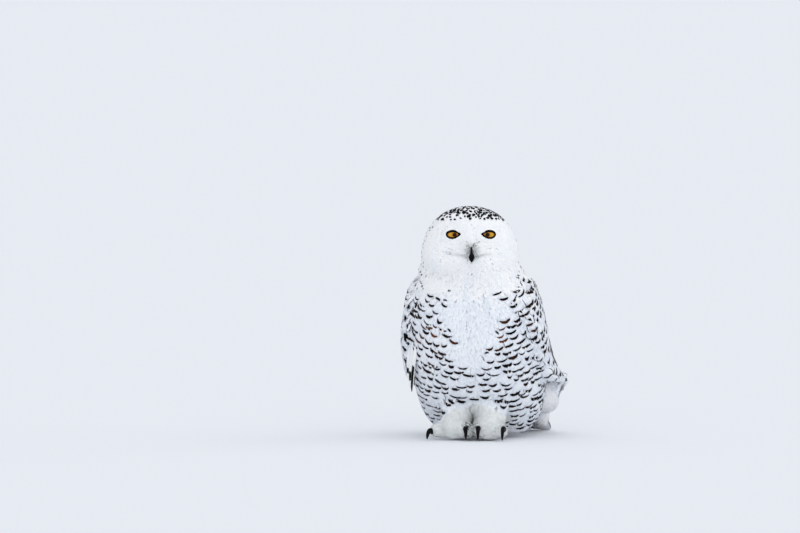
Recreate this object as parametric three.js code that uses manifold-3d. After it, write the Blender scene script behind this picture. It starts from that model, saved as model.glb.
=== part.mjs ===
// Snowy owl standing at rest on the ground, life size.
// Millimetres, +Z up. The bird looks towards -Y, its left side is +X, and it stands on z = 0.
import * as THREE from "three";
import { mergeVertices } from "three/addons/utils/BufferGeometryUtils.js";
import Module from "manifold-3d";

const wasm = await Module();
wasm.setup();

// ---- driving dimensions ------------------------------------------------------------------------
const seam = 0.45; // gap kept between touching pieces
const headYaw = THREE.MathUtils.degToRad(16.5); // the head turns towards the bird's left
const headCentre = new THREE.Vector3(-2, -30, 310);
const eyeRadius = 14.5;
const eyeSpacing = 63; // between the eyeballs' centres
const vaneThickness = 0.95; // of a flight feather at its root

// Level slices of the body: height, half width, front and back, from the skirt to the neck.
const bodyLevels = [
  { z: 8, half: 76, front: 42, back: 96 },
  { z: 20, half: 91, front: 25, back: 118 },
  { z: 36, half: 99, front: 4, back: 136 },
  { z: 55, half: 105, front: -26, back: 151 },
  { z: 80, half: 109, front: -58, back: 160 },
  { z: 110, half: 112, front: -80, back: 163 },
  { z: 150, half: 114, front: -96, back: 148 },
  { z: 200, half: 113, front: -101, back: 120 },
  { z: 245, half: 109, front: -95, back: 91 },
  { z: 272, half: 95, front: -87, back: 72 },
];
const neckLevels = [
  { z: 250, half: 105, front: -94, back: 87 },
  { z: 272, half: 94, front: -87, back: 71 },
  { z: 288, half: 86, front: -84, back: 58 },
  { z: 300, half: 80, front: -80, back: 46 },
];
const chestSquareness = 2.3; // exponents of the superellipse that each slice is, before and behind
const backSquareness = 2;
const skirtShift = -5; // the lower body sits this far towards the bird's right

// The head about its own centre: x across, -y towards the face, z up.
const headSize = { half: 83, face: 72, nape: 70, crown: 88, chin: 44, squareness: 2.15 };
const headRelief = [
  // push towards the face, centre and spread across and up, and whether it repeats on the other side
  { push: -6, x: 33, z: 38, across: 20, up: 17, paired: true }, // hollow of the facial disc round each eye
  { push: -5, x: 40, z: 8, across: 24, up: 20, paired: true }, // lower disc
  { push: 9, x: 0, z: 20, across: 15, up: 24 }, // bridge and bristles over the bill
  { push: 6, x: 24, z: 60, across: 24, up: 9, paired: true }, // brow
  { push: 4, x: 0, z: -16, across: 42, up: 12 }, // ruff under the chin
];

// ---- solids ------------------------------------------------------------------------------------
// A closed three.js geometry as a solid with its faces pointing out.
function solid(geometry) {
  const bare = new THREE.BufferGeometry()
    .setAttribute("position", geometry.getAttribute("position"))
    .setIndex(geometry.getIndex());
  const merged = mergeVertices(bare, 1e-4);
  const corners = merged.attributes.position.array;
  const faces = new Uint32Array(merged.index.array);
  const make = () => {
    const surface = new wasm.Mesh({ numProp: 3, vertProperties: corners, triVerts: faces });
    return new wasm.Manifold(surface);
  };
  const made = make();
  if (made.volume() > 0) return made;
  for (let i = 0; i < faces.length; i += 3) faces.subarray(i, i + 3).reverse();
  return make();
}

// The largest closed surface of a solid: drops scraps, and fills hollows that fusing has sealed.
function largest(made) {
  return made.decompose().reduce((a, b) => (b.volume() > a.volume() ? b : a));
}

const fuse = (pieces) => largest(wasm.Manifold.union(pieces));
const mirrored = (made) => made.mirror([1, 0, 0]);

// A closed skin over rings of points that run alike round a line, with a fan over each end.
function loft(rings) {
  const around = rings[0].length;
  const points = rings.flat();
  const ends = [rings[0], rings.at(-1)].map((ring) =>
    ring.reduce((sum, p) => sum.add(p), new THREE.Vector3()).divideScalar(around),
  );
  const first = points.push(...ends) - 2;
  const faces = [];
  for (let j = 0; j < around; j++) {
    const next = (j + 1) % around;
    for (let i = 0; i + 1 < rings.length; i++) {
      const low = i * around;
      const high = low + around;
      faces.push(low + j, low + next, high + next, low + j, high + next, high + j);
    }
    const top = (rings.length - 1) * around;
    faces.push(first, next, j, first + 1, top + j, top + next);
  }
  const geometry = new THREE.BufferGeometry().setFromPoints(points).setIndex(faces);
  return solid(geometry);
}

// Reads rows of named numbers as smooth functions of their height z.
function smoothLevels(levels) {
  const names = ["half", "front", "back"];
  const heights = levels.map((l) => l.z);
  const values = levels.flatMap((l) => names.map((n) => l[n]));
  const curve = new THREE.CubicInterpolant(heights, values, names.length);
  return (z) => {
    const [half, front, back] = curve.evaluate(z);
    return { half, front, back };
  };
}

// One level slice as a superellipse, grown outwards by grow.
function slice(level, z, grow, around) {
  const middle = (level.front + level.back) / 2;
  const depth = (level.back - level.front) / 2 + grow;
  const shift = skirtShift * (1 - THREE.MathUtils.smoothstep(z, 30, 160));
  return Array.from({ length: around }, (_, j) => {
    const turn = (2 * Math.PI * j) / around;
    const power = 2 / (Math.sin(turn) < 0 ? chestSquareness : backSquareness);
    const bend = (v) => Math.sign(v) * Math.abs(v) ** power;
    const x = shift + (level.half + grow) * bend(Math.cos(turn));
    return new THREE.Vector3(x, middle + depth * bend(Math.sin(turn)), z);
  });
}

function trunk(levels, steps, around, grow = 0) {
  const at = smoothLevels(levels);
  const low = levels[0].z;
  const high = levels.at(-1).z;
  const rings = [];
  for (let i = 0; i <= steps; i++) {
    const z = low + ((high - low) * i) / steps;
    const moved = i === 0 ? z - grow : i === steps ? z + grow : z;
    rings.push(slice(at(z), moved, grow, around));
  }
  return loft(rings);
}

// A tube of oval rings along a curve. size(t) gives the half width across and the half height.
function limb(curve, size, steps, around, up = new THREE.Vector3(0, 0, 1)) {
  const rings = [];
  for (let i = 0; i <= steps; i++) {
    const t = i / steps;
    const along = curve.getTangent(t);
    const side = new THREE.Vector3().crossVectors(along, up).normalize();
    const over = new THREE.Vector3().crossVectors(side, along).normalize();
    const [wide, tall] = size(t);
    rings.push(
      Array.from({ length: around }, (_, j) => {
        const turn = (2 * Math.PI * j) / around;
        return curve
          .getPoint(t)
          .addScaledVector(side, wide * Math.cos(turn))
          .addScaledVector(over, tall * Math.sin(turn));
      }),
    );
  }
  return loft(rings);
}

const floorCutter = solid(new THREE.BoxGeometry(800, 800, 100)).translate([0, 0, -50]);
const onFloor = (made) => largest(made.subtract(floorCutter));

// ---- head --------------------------------------------------------------------------------------
const placeHead = (made) =>
  made.rotate([0, 0, THREE.MathUtils.radToDeg(headYaw)]).translate(headCentre.toArray());

function headSolid(grow = 0) {
  const geometry = new THREE.SphereGeometry(1, 32, 22).rotateX(Math.PI / 2); // poles fore and aft
  const spots = geometry.getAttribute("position");
  const { half, face, nape, crown, chin, squareness } = headSize;
  const bell = (v, spread) => Math.exp(-((v / spread) ** 2));
  for (let i = 0; i < spots.count; i++) {
    const way = new THREE.Vector3().fromBufferAttribute(spots, i);
    const depth = way.y < 0 ? face : nape;
    const height = way.z < 0 ? chin : crown;
    const scaled = [way.x / half, way.y / depth, way.z / height];
    const reach = scaled.reduce((sum, v) => sum + Math.abs(v) ** squareness, 0);
    const p = way.clone().multiplyScalar(reach ** (-1 / squareness));
    const facing = THREE.MathUtils.smoothstep(-way.y, 0.15, 0.6);
    for (const r of headRelief)
      for (const x of r.paired ? [-r.x, r.x] : [r.x])
        p.y -= facing * r.push * bell(p.x - x, r.across) * bell(p.z - r.z, r.up);
    p.addScaledVector(way, grow);
    spots.setXYZ(i, p.x, p.y, p.z);
  }
  return solid(geometry);
}

const eyeCentre = new THREE.Vector3(eyeSpacing / 2, -44, 40.5);
const eyeOutward = THREE.MathUtils.degToRad(13); // the lids open this far to the side
const lidThickness = 2.4;

const ball = (radius, across = 14, down = 10) => solid(new THREE.SphereGeometry(radius, across, down));

// The almond between the lids, as a prism along the eye's line of sight.
function lidOpening() {
  const half = 10.2; // half the opening's width
  const shape = new THREE.Shape();
  shape.moveTo(-half, 1.2); // inner corner, nearest the bill
  shape.bezierCurveTo(-half * 0.5, 7.6, half * 0.75, 7.4, half, 0.4);
  shape.bezierCurveTo(half * 0.7, -7.6, -half * 0.45, -7.8, -half, 1.2);
  const prism = new THREE.ExtrudeGeometry(shape, { depth: 30, bevelEnabled: false, curveSegments: 6 });
  return solid(prism.rotateX(Math.PI / 2)).rotate([0, 0, THREE.MathUtils.radToDeg(eyeOutward)]);
}

const atEye = (made) => made.translate(eyeCentre.toArray());
const lids = atEye(ball(eyeRadius + lidThickness, 18, 12).subtract(lidOpening()));
const eyeHole = atEye(ball(eyeRadius + seam)).add(atEye(lidOpening()));
const leftEye = atEye(ball(eyeRadius));

// The bill: an upper mandible hooked down over a lower one, which closes against it.
const upperBillLine = new THREE.CubicBezierCurve3(
  new THREE.Vector3(0, -58, 15),
  new THREE.Vector3(0, -82, 19),
  new THREE.Vector3(0, -92.5, 14),
  new THREE.Vector3(0, -87.5, -4),
);
const lowerBillLine = new THREE.QuadraticBezierCurve3(
  new THREE.Vector3(0, -58, 6),
  new THREE.Vector3(0, -80, 8),
  new THREE.Vector3(0, -85.5, 1),
);
const upperBill = (grow = 0) => {
  const size = (t) => [0.5 + 6 * (1 - t) ** 0.7 + grow, 0.5 + 8.4 * (1 - t) ** 0.75 + grow];
  return limb(upperBillLine, size, 8, 10);
};
const lowerBill = () => {
  const size = (t) => [0.8 + 4.6 * (1 - t) ** 0.6, 0.8 + 4 * (1 - t) ** 0.6];
  return limb(lowerBillLine, size, 5, 8);
};
const leftNostril = ball(1.7, 8, 6).translate([5, -79, 19]);
const nostrils = leftNostril.add(mirrored(leftNostril));

const bareHead = headSolid().add(lids).add(mirrored(lids));
const headLocal = largest(bareHead.subtract(eyeHole).subtract(mirrored(eyeHole)));
const headGrown = placeHead(headSolid(seam));
const billUpper = largest(upperBill().subtract(headSolid(seam)).subtract(nostrils));
const billLower = largest(lowerBill().subtract(headSolid(seam)).subtract(upperBill(seam)));

// ---- body --------------------------------------------------------------------------------------
const torsoWhole = (grow = 0) => trunk(bodyLevels, 11, 26, grow);
const torsoGrown = torsoWhole(seam);
const torso = largest(torsoWhole().subtract(headGrown));
const neckWhole = (grow = 0) => trunk(neckLevels, 3, 26, grow);
const neck = largest(neckWhole().subtract(torsoGrown).subtract(headGrown));
const bodyGrown = fuse([torsoGrown, neckWhole(seam), headGrown]);

// ---- legs and feet -----------------------------------------------------------------------------
// ankle is where the toes meet. reach is how far each toe runs from it to the root of its claw,
// clawTurn is the way the claw points, and root is how high above the floor it begins.
const feet = {
  left: {
    ankle: new THREE.Vector3(34, -26, 22),
    toes: [
      { name: "inner", turn: -31, reach: 33, clawTurn: 12, root: 20 },
      { name: "middle", turn: 49, reach: 42, clawTurn: 5, root: 20 },
      { name: "outer", turn: 160, reach: 24, clawTurn: 160, root: 17 },
      { name: "hind", turn: 206, reach: 18, clawTurn: 206, root: 17 },
    ],
  },
  right: {
    ankle: new THREE.Vector3(-28, -26, 22),
    toes: [
      { name: "inner", turn: 42, reach: 38, clawTurn: 18, root: 19 },
      { name: "middle", turn: -59, reach: 43, clawTurn: -18, root: 14 },
      { name: "outer", turn: -150, reach: 24, clawTurn: -150, root: 17 },
      { name: "hind", turn: -204, reach: 18, clawTurn: -204, root: 17 },
    ],
  },
};
const toeWidth = 12;
const clawReach = 17; // how far a claw runs forward of its root
const clawWidth = 4.5;
const instep = new THREE.Vector3(25, 25, 25); // half sizes of the feathered mound over the toes

// A level direction turned from straight ahead (-Y) towards the bird's left.
const ahead = (turn) => {
  const angle = THREE.MathUtils.degToRad(turn);
  return new THREE.Vector3(Math.sin(angle), -Math.cos(angle), 0);
};

function legSolid(foot, grow = 0) {
  const top = foot.ankle.clone().add(new THREE.Vector3(0, 26, 80));
  const middle = foot.ankle.clone().add(new THREE.Vector3(0, 6, 36));
  const line = new THREE.QuadraticBezierCurve3(top, middle, foot.ankle);
  return limb(line, (t) => [33 - 10 * t + grow, 34 - 12 * t + grow], 4, 14, new THREE.Vector3(0, -1, 0));
}

function toeSolid(foot, toe, grow = 0) {
  const way = ahead(toe.turn);
  const end = foot.ankle.clone().addScaledVector(way, toe.reach).setZ(15);
  const knuckle = foot.ankle.clone().addScaledVector(way, toe.reach * 0.55).setZ(21);
  const start = foot.ankle.clone().setZ(16);
  const line = new THREE.QuadraticBezierCurve3(start, knuckle, end);
  const girth = (t) => toeWidth * (1.35 - 0.4 * t) * (t > 0.95 ? 0.72 : 1) + grow;
  return limb(line, (t) => [girth(t), girth(t) * 1.08], 3, 8);
}

function instepSolid(foot, grow = 0) {
  const mound = new THREE.SphereGeometry(1, 12, 8);
  mound.scale(instep.x + grow, instep.y + grow, instep.z + grow);
  mound.translate(foot.ankle.x, foot.ankle.y - 8, foot.ankle.z);
  return solid(mound);
}

function clawSolid(foot, toe) {
  const way = ahead(toe.clawTurn);
  const start = foot.ankle.clone().addScaledVector(ahead(toe.turn), toe.reach - 3).setZ(toe.root);
  const peak = start.clone().addScaledVector(way, clawReach).add(new THREE.Vector3(0, 0, 8));
  const tip = start.clone().addScaledVector(way, clawReach + 2).setZ(0.7);
  const line = new THREE.QuadraticBezierCurve3(start, peak, tip);
  const girth = (t) => 0.5 + clawWidth * (1 - t) ** 0.55;
  return limb(line, (t) => [girth(t) * 0.88, girth(t)], 4, 7);
}

function footParts(foot) {
  const leg = largest(legSolid(foot).subtract(torsoGrown));
  const above = legSolid(foot, seam).add(torsoGrown);
  const footWhole = (grow) =>
    fuse([instepSolid(foot, grow), ...foot.toes.map((toe) => toeSolid(foot, toe, grow))]);
  const sole = onFloor(footWhole(0).subtract(above));
  const soleGrown = footWhole(seam);
  const claws = foot.toes.map((toe) => onFloor(clawSolid(foot, toe).subtract(soleGrown).subtract(above)));
  return { leg, sole, claws };
}

// ---- feathers ----------------------------------------------------------------------------------
// A seeded draw from -1 to 1, so that no two vanes are quite alike and every build is the same.
let seed = 11;
function vary() {
  seed = (Math.imul(seed, 1664525) + 1013904223) >>> 0;
  return seed / 2 ** 31 - 1;
}

// How wide a vane is along its length, as a share of its width.
const vaneOutline = [
  { t: 0, share: 0.5 },
  { t: 0.3, share: 0.92 },
  { t: 0.62, share: 1 },
  { t: 0.87, share: 0.84 },
  { t: 1, share: 0.36 },
];

// One vane as a thin plate with its two faces split alike. place(t) is where it runs, from root to tip.
function vaneSolid(place, width, roll) {
  const points = [];
  const faces = [];
  for (const { t, share } of vaneOutline) {
    const { spot, along, out } = place(t);
    const across = new THREE.Vector3().crossVectors(along, out).normalize().applyAxisAngle(along, roll);
    const raised = new THREE.Vector3().crossVectors(across, along).normalize();
    const half = (width * share) / 2;
    const thick = (vaneThickness * (1.15 - 0.4 * t)) / 2;
    for (const x of [-half, half])
      for (const z of [thick, -thick])
        points.push(spot.clone().addScaledVector(across, x).addScaledVector(raised, z));
  }
  // Corners of a row: 0 first edge top, 1 first edge bottom, 2 second edge top, 3 second edge bottom.
  const rows = vaneOutline.length;
  for (let i = 0; i + 1 < rows; i++) {
    const a = 4 * i;
    const b = a + 4;
    faces.push(a, a + 2, b + 2, a, b + 2, b); // top
    faces.push(a + 1, b + 3, a + 3, a + 1, b + 1, b + 3); // bottom, split along the same line
    faces.push(a, b, b + 1, a, b + 1, a + 1); // first edge
    faces.push(a + 2, a + 3, b + 3, a + 2, b + 3, b + 2); // second edge
  }
  const last = 4 * (rows - 1);
  faces.push(0, 1, 3, 0, 3, 2, last, last + 2, last + 3, last, last + 3, last + 1);
  return solid(new THREE.BufferGeometry().setFromPoints(points).setIndex(faces));
}

// A tier of vanes on a surface(u, v, h). Each of its values runs from the first vane to the last.
function tier(surface, { count, width, roll, root, tip, tipBulge = 0, jitter = 1 }) {
  return Array.from({ length: count }, (_, k) => {
    const share = count > 1 ? k / (count - 1) : 0;
    const pick = (ends) => THREE.MathUtils.lerp(ends[0], ends[1], share);
    const from = { u: pick(root.u), v: pick(root.v), h: pick(root.h) };
    const to = {
      u: pick(tip.u) + tipBulge * Math.sin(Math.PI * share) + 0.008 * jitter * vary(),
      v: pick(tip.v) + 0.01 * jitter * vary(),
      h: pick(tip.h),
    };
    const at = (t) => {
      const lift = THREE.MathUtils.lerp(from.h, to.h, Math.sin((t * Math.PI) / 2));
      return surface(THREE.MathUtils.lerp(from.u, to.u, t), THREE.MathUtils.lerp(from.v, to.v, t), lift);
    };
    const place = (t) => {
      const spot = at(t);
      const along = at(Math.min(t + 0.02, 1)).sub(at(Math.max(t - 0.02, 0))).normalize();
      const u = THREE.MathUtils.lerp(from.u, to.u, t);
      const v = THREE.MathUtils.lerp(from.v, to.v, t);
      const out = surface(u, v, 1).sub(surface(u, v, 0)).normalize();
      return { spot, along, out };
    };
    return vaneSolid(place, width * (1 + 0.04 * jitter * vary()), THREE.MathUtils.degToRad(roll));
  });
}

// ---- wings -------------------------------------------------------------------------------------
// A folded wing hangs on three lines from the wrist to the tip: its lower edge, middle and upper edge.
const wingLines = {
  left: {
    lower: [[96, -60, 222], [111, -38, 160], [116, 22, 106], [128, 124, 88], [89, 212, 62]],
    middle: [[106, -42, 250], [119, -5, 202], [110, 70, 152], [97, 142, 110], [68, 217, 69]],
    upper: [[96, -16, 279], [80, 76, 256], [46, 129, 195], [25, 168, 138], [44, 222, 76]],
  },
  right: {
    lower: [[96, -60, 222], [112, -38, 154], [120, 22, 96], [113, 112, 78], [80, 212, 58]],
    middle: [[107, -42, 250], [117, -5, 202], [113, 68, 150], [95, 138, 108], [62, 217, 66]],
    upper: [[96, -16, 279], [80, 76, 256], [46, 129, 195], [25, 168, 138], [42, 222, 74]],
  },
};

// A point of the wing: u runs from wrist to tip, v from the lower edge at -1 to the upper edge at 1,
// and h stands out of it.
function wingSurface(lines) {
  const [lower, middle, upper] = ["lower", "middle", "upper"].map(
    (edge) => new THREE.CatmullRomCurve3(lines[edge].map((p) => new THREE.Vector3(...p))),
  );
  const flat = (u, v) =>
    new THREE.Vector3()
      .addScaledVector(lower.getPoint(u), (v * v - v) / 2)
      .addScaledVector(middle.getPoint(u), 1 - v * v)
      .addScaledVector(upper.getPoint(u), (v * v + v) / 2);
  const step = 0.02;
  return (u, v, h = 0) => {
    const p = flat(u, v);
    const du = flat(Math.min(u + step, 1), v).sub(flat(Math.max(u - step, 0), v));
    const dv = flat(u, v + step).sub(flat(u, v - step));
    return p.addScaledVector(du.cross(dv).normalize(), h);
  };
}

// The arm and hand of the wing, which every vane is rooted in.
function wingArm(surface) {
  const steps = 6;
  const across = 8;
  const reach = 0.44;
  const rings = [];
  for (let i = 0; i <= steps; i++) {
    const u = (reach * i) / steps;
    const fade = THREE.MathUtils.smoothstep(u, 0.16, reach);
    const top = THREE.MathUtils.lerp(0.5, -3.6, fade);
    const bottom = THREE.MathUtils.lerp(-16, -6.4, fade);
    const half = THREE.MathUtils.lerp(1, 0.8, fade);
    const spot = (j, h) => surface(u, half * (-1 + (2 * j) / across), h);
    const row = (h) => Array.from({ length: across + 1 }, (_, j) => spot(j, h));
    rings.push([...row(bottom), ...row(top).reverse()]);
  }
  return loft(rings);
}

// The tiers from the lowest up. v runs from the lower edge at -1 to the edge over the back at 1.
const wingTiers = [
  {
    // primaries
    count: 7,
    width: 24,
    roll: 0,
    root: { u: [0.33, 0.26], v: [-0.72, 0.1], h: [-6, -3] },
    tip: { u: [0.93, 0.85], v: [-0.62, 0.72], h: [-7.5, 0] },
    tipBulge: 0.09,
  },
  {
    // secondaries
    count: 8,
    width: 29,
    roll: 5,
    root: { u: [0.3, 0.2], v: [-0.72, 0.86], h: [-4.5, -3] },
    tip: { u: [0.58, 0.83], v: [-0.9, 0.86], h: [0.4, 3] },
  },
  {
    // tertials
    count: 3,
    width: 33,
    roll: 5,
    root: { u: [0.2, 0.12], v: [0.42, 0.92], h: [-2.5, -2.5] },
    tip: { u: [0.67, 0.71], v: [0.42, 0.96], h: [4.8, 5.4] },
  },
  {
    // greater coverts
    count: 7,
    width: 31,
    roll: 5,
    root: { u: [0.16, 0.1], v: [-0.86, 0.72], h: [-3, -3] },
    tip: { u: [0.44, 0.53], v: [-0.98, 0.66], h: [3, 4] },
  },
  {
    // median coverts
    count: 7,
    width: 31,
    roll: 5,
    root: { u: [0.04, 0.02], v: [-0.86, 0.82], h: [-3, -3] },
    tip: { u: [0.27, 0.33], v: [-0.94, 0.84], h: [4, 5] },
  },
];

function wing(lines) {
  const surface = wingSurface(lines);
  return fuse([wingArm(surface), ...wingTiers.flatMap((t) => tier(surface, t))]);
}
const wingLeft = largest(wing(wingLines.left).subtract(bodyGrown));
const wingRight = largest(mirrored(wing(wingLines.right)).subtract(bodyGrown));

// ---- tail --------------------------------------------------------------------------------------
const tailLine = new THREE.QuadraticBezierCurve3(
  new THREE.Vector3(0, 112, 122),
  new THREE.Vector3(0, 205, 60),
  new THREE.Vector3(0, 268, 1.2),
);
const tailHalfWidth = (u) => 36 + 19 * u; // to the middle of the outermost feather

// A point of the tail: u runs from rump to tip, v from the right edge at -1 to the left edge at 1,
// and h stands out of its back.
function tailSurface(u, v, h = 0) {
  const along = tailLine.getTangent(u);
  const out = new THREE.Vector3(0, -along.z, along.y);
  const arch = -6 * (1 - u) * v * v;
  return tailLine
    .getPoint(u)
    .add(new THREE.Vector3(tailHalfWidth(u) * v, 0, 0))
    .addScaledVector(out, h + arch);
}

function tailRump() {
  const steps = 5;
  const across = 6;
  const reach = 0.52;
  const half = 0.92;
  const rings = [];
  for (let i = 0; i <= steps; i++) {
    const u = (reach * i) / steps;
    const top = THREE.MathUtils.lerp(9, -2, i / steps);
    const bottom = THREE.MathUtils.lerp(-16, -8, i / steps);
    const spot = (j, h) => tailSurface(u, half * (-1 + (2 * j) / across), h);
    const row = (h) => Array.from({ length: across + 1 }, (_, j) => spot(j, h));
    rings.push([...row(bottom), ...row(top).reverse()]);
  }
  return loft(rings);
}

// The tail feathers lie in two stacks that fall away from the middle pair. side is 1 for the left stack.
const tailTiers = (side) => [
  {
    // tail feathers
    count: 6,
    width: 27,
    roll: 0,
    root: { u: [0.3, 0.3], v: [0.12 * side, 0.8 * side], h: [-2.5, -6.5] },
    tip: { u: [1, 0.98], v: [0.12 * side, 1.04 * side], h: [0.5 + 0.6 * side, -5.4 + 0.6 * side] },
  },
  {
    // upper coverts
    count: 3,
    width: 26,
    roll: 5 * side,
    root: { u: [0.08, 0.08], v: [0.14 * side, 0.86 * side], h: [2, 0] },
    tip: { u: [0.64, 0.58], v: [0.16 * side, 0.86 * side], h: [5.2, 1.5] },
  },
];
const tailWhole = fuse([
  tailRump(),
  ...[-1, 1].flatMap((side) => tailTiers(side).flatMap((t) => tier(tailSurface, t))),
]);
const tail = onFloor(tailWhole.subtract(torsoGrown));

// ---- the bird ----------------------------------------------------------------------------------
const finishes = {
  plumage: new THREE.MeshStandardMaterial({ color: 0xeef0f2, roughness: 0.9 }),
  keratin: new THREE.MeshStandardMaterial({ color: 0x14151a, roughness: 0.32 }),
  iris: new THREE.MeshStandardMaterial({ color: 0xd8981c, roughness: 0.08 }),
};

function mesh(name, made, finish) {
  const { vertProperties, triVerts } = made.getMesh();
  const geometry = new THREE.BufferGeometry()
    .setAttribute("position", new THREE.BufferAttribute(new Float32Array(vertProperties), 3))
    .setIndex(new THREE.BufferAttribute(new Uint32Array(triVerts), 1));
  geometry.computeVertexNormals();
  const piece = new THREE.Mesh(geometry, finishes[finish]);
  piece.name = name;
  return piece;
}

const owl = new THREE.Group();
owl.add(
  mesh("head", placeHead(headLocal), "plumage"),
  mesh("neck", neck, "plumage"),
  mesh("torso", torso, "plumage"),
  mesh("tail", tail, "plumage"),
  mesh("wing_left", wingLeft, "plumage"),
  mesh("wing_right", wingRight, "plumage"),
  mesh("eye_left", placeHead(leftEye), "iris"),
  mesh("eye_right", placeHead(mirrored(leftEye)), "iris"),
  mesh("bill_upper", placeHead(billUpper), "keratin"),
  mesh("bill_lower", placeHead(billLower), "keratin"),
);
for (const [side, foot] of Object.entries(feet)) {
  const { leg, sole, claws } = footParts(foot);
  owl.add(mesh(`leg_${side}`, leg, "plumage"));
  owl.add(mesh(`foot_${side}`, sole, "plumage"));
  foot.toes.forEach((toe, i) => owl.add(mesh(`claw_${side}_${toe.name}`, claws[i], "keratin")));
}

// The frame's origin is under the middle of the bird's box.
const box = new THREE.Box3().setFromObject(owl);
const middle = box.getCenter(new THREE.Vector3());
owl.position.set(-middle.x, -middle.y, -box.min.z);

export default owl;
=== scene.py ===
import math
import bmesh
import bpy
import numpy as np
from mathutils import Matrix, Vector
from mathutils.bvhtree import BVHTree
from mathutils.kdtree import KDTree


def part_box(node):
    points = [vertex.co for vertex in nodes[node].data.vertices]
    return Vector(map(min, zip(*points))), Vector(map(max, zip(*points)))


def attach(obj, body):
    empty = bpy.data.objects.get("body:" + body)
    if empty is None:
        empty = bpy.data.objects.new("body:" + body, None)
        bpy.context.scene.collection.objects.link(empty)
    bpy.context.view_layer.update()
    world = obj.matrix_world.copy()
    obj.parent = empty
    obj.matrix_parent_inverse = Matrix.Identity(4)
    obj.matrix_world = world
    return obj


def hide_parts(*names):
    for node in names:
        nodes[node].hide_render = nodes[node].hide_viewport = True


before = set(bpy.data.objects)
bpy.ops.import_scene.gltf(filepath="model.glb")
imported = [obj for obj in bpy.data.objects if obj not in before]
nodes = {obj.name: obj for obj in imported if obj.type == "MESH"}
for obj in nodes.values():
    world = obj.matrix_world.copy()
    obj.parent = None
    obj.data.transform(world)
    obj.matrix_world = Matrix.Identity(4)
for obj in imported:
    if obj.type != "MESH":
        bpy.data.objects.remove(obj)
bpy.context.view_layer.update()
rng = np.random.default_rng(20)
print("frame loaded,", len(nodes), "nodes")

# The bird is measured in mm: it looks along -y, its left is +x and the floor is z = 0. Places on the head are
# in the head's own axes, which yaw turns. The view's distance is in metres.
view = dict(azimuth=15.0, elevation=3.0, distance=20.0, mmPerPixel=1.7, aim=(0, 0, 150),
            aimPixel=(475.5, 351.0), picture=(800, 533))
head = dict(yaw=16.5, centre=(-2, -30, 310), bill=(0, -76, 18), solidEye=(31.5, -44, 40.5),
            eyeAt=(30.0, -45, 42.2), eyeRadius=14.5, lidTurn=4, opening=(31.0, 42.2), openingHalf=(10.2, 6.6))


def columns(*parts):  # numbers side by side along a last axis
    return np.stack(np.broadcast_arrays(*parts), -1)


def turned(p, angle):  # about the upright axis
    x, y, z = (p[..., i] for i in range(3))
    return columns(x * math.cos(angle) - y * math.sin(angle), x * math.sin(angle) + y * math.cos(angle), z)


def headPoint(p):  # from the head's own axes to the bird's
    return turned(np.asarray(p, float), math.radians(head["yaw"])) + np.array(head["centre"], float)


def headLocal(p):  # and back again
    return turned(np.asarray(p, float) - np.array(head["centre"], float), -math.radians(head["yaw"]))


def unit(v):
    v = np.asarray(v, float)
    return v / np.maximum(np.linalg.norm(v, axis=-1, keepdims=True), 1e-9)


def headWay(v):  # a way given in the head's own axes
    return unit(headPoint(v) - headPoint([0, 0, 0]))


# from the bird's mm to the frame's metres
shift = np.array(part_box("eye_left"), float).sum(0) / 2 - headPoint(head["solidEye"]) / 1000


def toFrame(p):
    return np.asarray(p, float) / 1000 + shift


def toBird(p):
    return (np.asarray(p, float) - shift) * 1000


def smoothStep(x, low, high):
    t = np.clip((np.asarray(x, float) - low) / (high - low), 0, 1)
    return t * t * (3 - 2 * t)


def bell(x, middle, spread):
    return np.exp(-(((np.asarray(x, float) - middle) / spread) ** 2))


def levelled(way, normals, share=1.0):  # takes out of a way what points off the surface
    return way - normals * np.sum(way * normals, -1, keepdims=True) * share


def varied(n, share):  # factors that scatter about 1
    return 1 + share * rng.normal(0, 1, n)


def viewAxes():  # towards the viewer, to the right and up
    a, e = math.radians(view["azimuth"]), math.radians(view["elevation"])
    toward = np.array([math.sin(a) * math.cos(e), -math.cos(a) * math.cos(e), math.sin(e)])
    right = np.array([math.cos(a), math.sin(a), 0.0])
    return toward, right, np.cross(toward, right)


# Materials. Shader nodes are added by one function, and these are the sums that its Math nodes do.
plus, minus, times, unsigned = ({"operation": word} for word in ("ADD", "SUBTRACT", "MULTIPLY", "ABSOLUTE"))
heldTimes = dict(operation="MULTIPLY", use_clamp=True)  # kept between 0 and 1


def linear(hexCode):  # sRGB to linear
    parts = [int(hexCode[i:i + 2], 16) / 255 for i in (1, 3, 5)]
    return [c / 12.92 if c <= 0.04045 else ((c + 0.055) / 1.055) ** 2.4 for c in parts] + [1.0]


# Inputs go by place or by name, stops colour a ramp, out picks the socket given back, or all when None.
def addNode(tree, kind, inputs=(), out=0, stops=(), **settings):
    node = tree.nodes.new("ShaderNode" + kind)
    for name, value in settings.items():
        setattr(node, name, value)
    for name, value in (inputs if isinstance(inputs, dict) else dict(enumerate(inputs))).items():
        if isinstance(value, bpy.types.NodeSocket):
            tree.links.new(value, node.inputs[name])
        else:
            node.inputs[name].default_value = value
    if stops:
        band = node.color_ramp.elements
        for spot, _ in stops[1:-1]:
            band.new(spot)
        for stop, (spot, code) in zip(band, stops):
            stop.position, stop.color = spot, linear(code)
    return node.outputs if out is None else node.outputs[out]


def newMaterial(name, shader):
    made = bpy.data.materials.new(name)
    made.use_nodes = True
    surface = made.node_tree.nodes["Principled BSDF"]
    for socket, value in shader.items():
        surface.inputs[socket].default_value = value
    return made, made.node_tree, surface


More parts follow.
